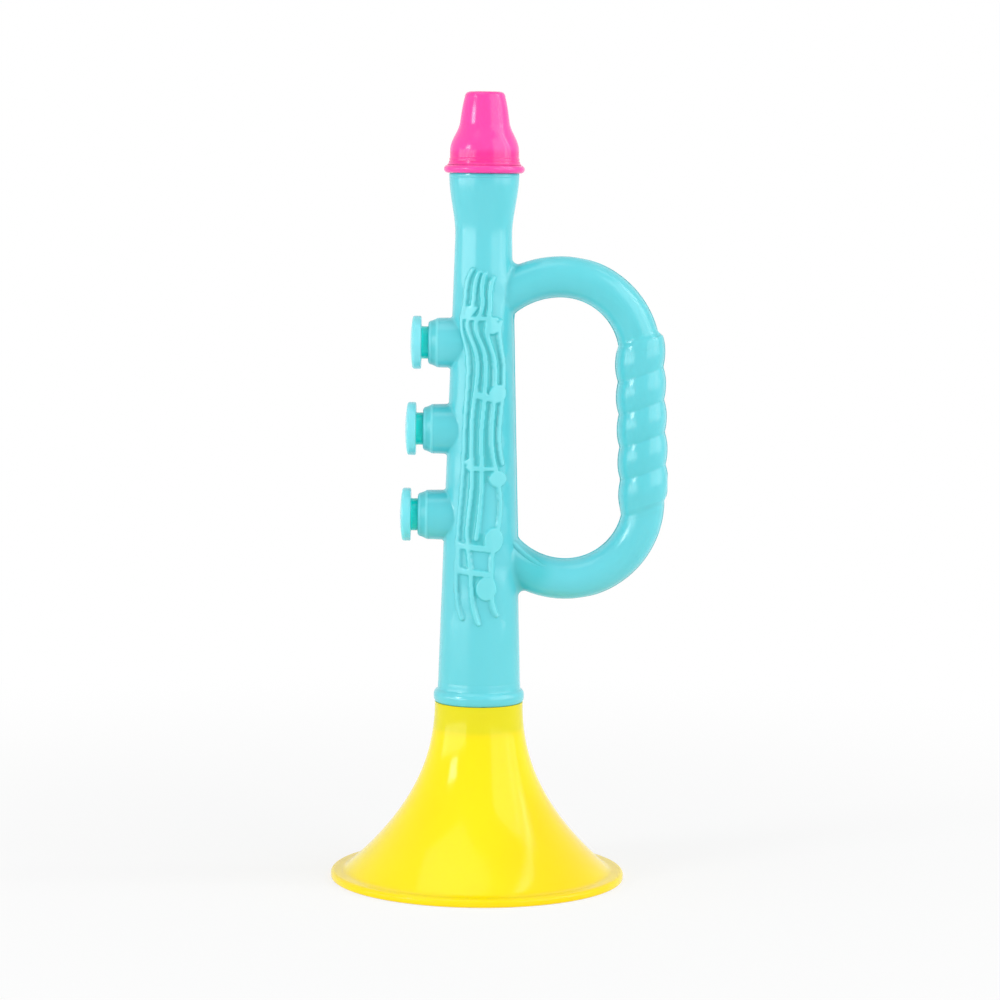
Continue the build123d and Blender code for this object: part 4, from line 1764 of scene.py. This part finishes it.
@dataclass(frozen=True)
class Softbox:
    """A soft lamp beside or over the trumpet.

    Attributes:
        name: Name of the lamp.
        bearing: Angle round the trumpet in degrees, from the front towards the handle.
        distance: Its distance from the trumpet's axis in metres.
        height: Height of its middle in metres.
        size: Its width and height in metres.
        brightness: How much brighter than white it looks.
        level: Whether it stands upright. It is tilted down to the trumpet if not.
    """

    name: str
    bearing: float
    distance: float
    height: float
    size: Point
    brightness: float
    level: bool = True

    def build(self, target: Vector) -> bpy.types.Object:
        """Adds the lamp and turns it to the trumpet.

        Args:
            target: Middle of the trumpet.

        Returns:
            The lamp.
        """
        bearing = math.radians(self.bearing)
        out = Vector((math.sin(bearing), -math.cos(bearing), 0))
        place = out * self.distance + Vector((0, 0, self.height))
        bpy.ops.object.light_add(type="AREA", location=place)
        lamp = bpy.context.object
        lamp.name = self.name
        away = out if self.level else (place - target).normalized()
        lamp.rotation_euler = away.to_track_quat("Z", "Y").to_euler()
        lamp.data.shape = "RECTANGLE"
        lamp.data.size, lamp.data.size_y = self.size
        lamp.data.energy = self.brightness * math.pi * self.size[0] * self.size[1]
        return lamp


@dataclass
class Studio:
    """Camera, floor, lamps and the white surround.

    Attributes:
        camera_place: Place of the lens, in millimetres.
        camera_target: Point that it looks at.
        lens: Focal length.
        sensor: Width of the sensor.
        roll: How far the camera is turned about its own axis, in degrees.
        lamps: The soft lamps.
        lamp_target: Middle of the trumpet, that they are turned to, in millimetres.
        floor_size: Width of the floor in metres.
        floor_drop: How far it lies under the trumpet, in metres.
        floor_shade: How white it is.
        shadow_reach: Distances in metres from the trumpet's foot between which its shadow fades.
        shadow_fade: How much of the shadow is taken away at them.
        surround: Strength of the white surround as a light.
    """

    camera_place: tuple[float, float, float] = (4.077, -700.0, 150.9)
    camera_target: tuple[float, float, float] = (4.077, 0.0, 81.557)
    lens: float = 118.7
    sensor: float = 36.0
    roll: float = 0.637
    lamps: tuple[Softbox, ...] = (
        Softbox("left_box", -56, 0.85, 0.38, (0.22, 0.2), 14.0, False),
        Softbox("left_wall", -62, 1.05, 0.06, (1.3, 0.4), 3.2),
        Softbox("right_wall", 65, 1.0, 0.68, (1.35, 1.25), 1.9),
        Softbox("right_strip", 76, 0.8, 0.5, (0.05, 0.9), 2.8),
        Softbox("high_strip", 90, 0.62, 0.75, (0.06, 0.8), 4.2, False),
        Softbox("top_sheet", -60, 0.35, 1.2, (0.8, 0.8), 1.2, False),
    )
    lamp_target: tuple[float, float, float] = (4.0, 0.0, 84.0)
    floor_size: float = 12.0
    floor_drop: float = 0.0001
    floor_shade: float = 0.92
    shadow_reach: Point = (0.05, 0.3)
    shadow_fade: Point = (0.75, 1.0)
    surround: float = 0.38

    def build_camera(self) -> None:
        """Adds the camera at the photograph's place and angle."""
        place = Vector(self.camera_place) * MM
        target = Vector(self.camera_target) * MM
        bpy.ops.object.camera_add(location=place)
        camera = bpy.context.object
        camera.name = "photo_camera"
        aim = (target - place).to_track_quat("-Z", "Y")
        camera.rotation_euler = (aim @ Quaternion((0, 0, 1), math.radians(self.roll))).to_euler()
        camera.data.sensor_width = self.sensor
        camera.data.lens = self.lens
        bpy.context.scene.camera = camera

    def build_room(self) -> None:
        """Adds the lamps, the floor and the surround."""
        for lamp in self.lamps:
            lamp.build(Vector(self.lamp_target) * MM)
        self._floor()
        self._surround()
        bpy.context.scene.view_settings.view_transform = "Standard"

    def _floor(self) -> None:
        """Adds a pale floor that keeps a soft shadow."""
        place = (0, 0, -self.floor_drop)
        bpy.ops.mesh.primitive_grid_add(
            x_subdivisions=8, y_subdivisions=8, size=self.floor_size, location=place
        )
        floor = bpy.context.object
        floor.name = "pale_floor"
        g = Skin("pale_floor")
        shade = (self.floor_shade, self.floor_shade, self.floor_shade, 1)
        diffuse = g.add("ShaderNodeBsdfDiffuse", {"Color": shade}).outputs["BSDF"]
        glow = g.add("ShaderNodeEmission", {"Color": WHITE}).outputs["Emission"]
        away = g.add("ShaderNodeVectorMath", {0: g.place()}, operation="LENGTH")
        fade = g.ramp(away.outputs["Value"], self.shadow_reach, self.shadow_fade)
        share = g.combine("MULTIPLY", g.seen_share(), fade)
        g.show("ShaderNodeOutputMaterial", share, diffuse, glow)
        floor.data.materials.append(g.material)

    def _surround(self) -> None:
        """Makes the world white where it is seen and dimmer where it only lights."""
        world = bpy.data.worlds.new("white_surround")
        world.use_nodes = True
        bpy.context.scene.world = world
        g = Graph(world.node_tree)
        light, seen = (
            g.add("ShaderNodeBackground", {"Color": WHITE, "Strength": strength}).outputs[0]
            for strength in (self.surround, 1.0)
        )
        g.show("ShaderNodeOutputWorld", g.seen_share(), light, seen)


def main() -> None:
    """Builds the studio and the trumpet's pieces and reports each piece."""
    logging.basicConfig(level=logging.INFO, format="%(name)s: %(message)s")
    studio = Studio()
    studio.build_camera()
    shells = Probe(*SHELLS)
    blue, relief_blue = BLUE.material(), RELIEF_BLUE.material()
    groups = (
        Bell(YELLOW.material()),
        Mouthpiece(PINK.material()),
        BodyShells(blue),
        MusicRelief(relief_blue, shells),
        HandleTrim(blue, relief_blue, shells),
        CasingEnds(CASING_BLUE.material(), shells),
        TubeRims(relief_blue),
        FingerButtons(BUTTON_BLUE.material()),
        ReedAndSprings(HOLDER_PLASTIC.material(), REED_FILM.material(), SPRING_STEEL.material()),
    )
    for group in groups:
        for piece in group.build():
            LOG.info("%s: %d faces", piece.name, len(piece.data.polygons))
    studio.build_room()


if __name__ == "__main__":
    main()
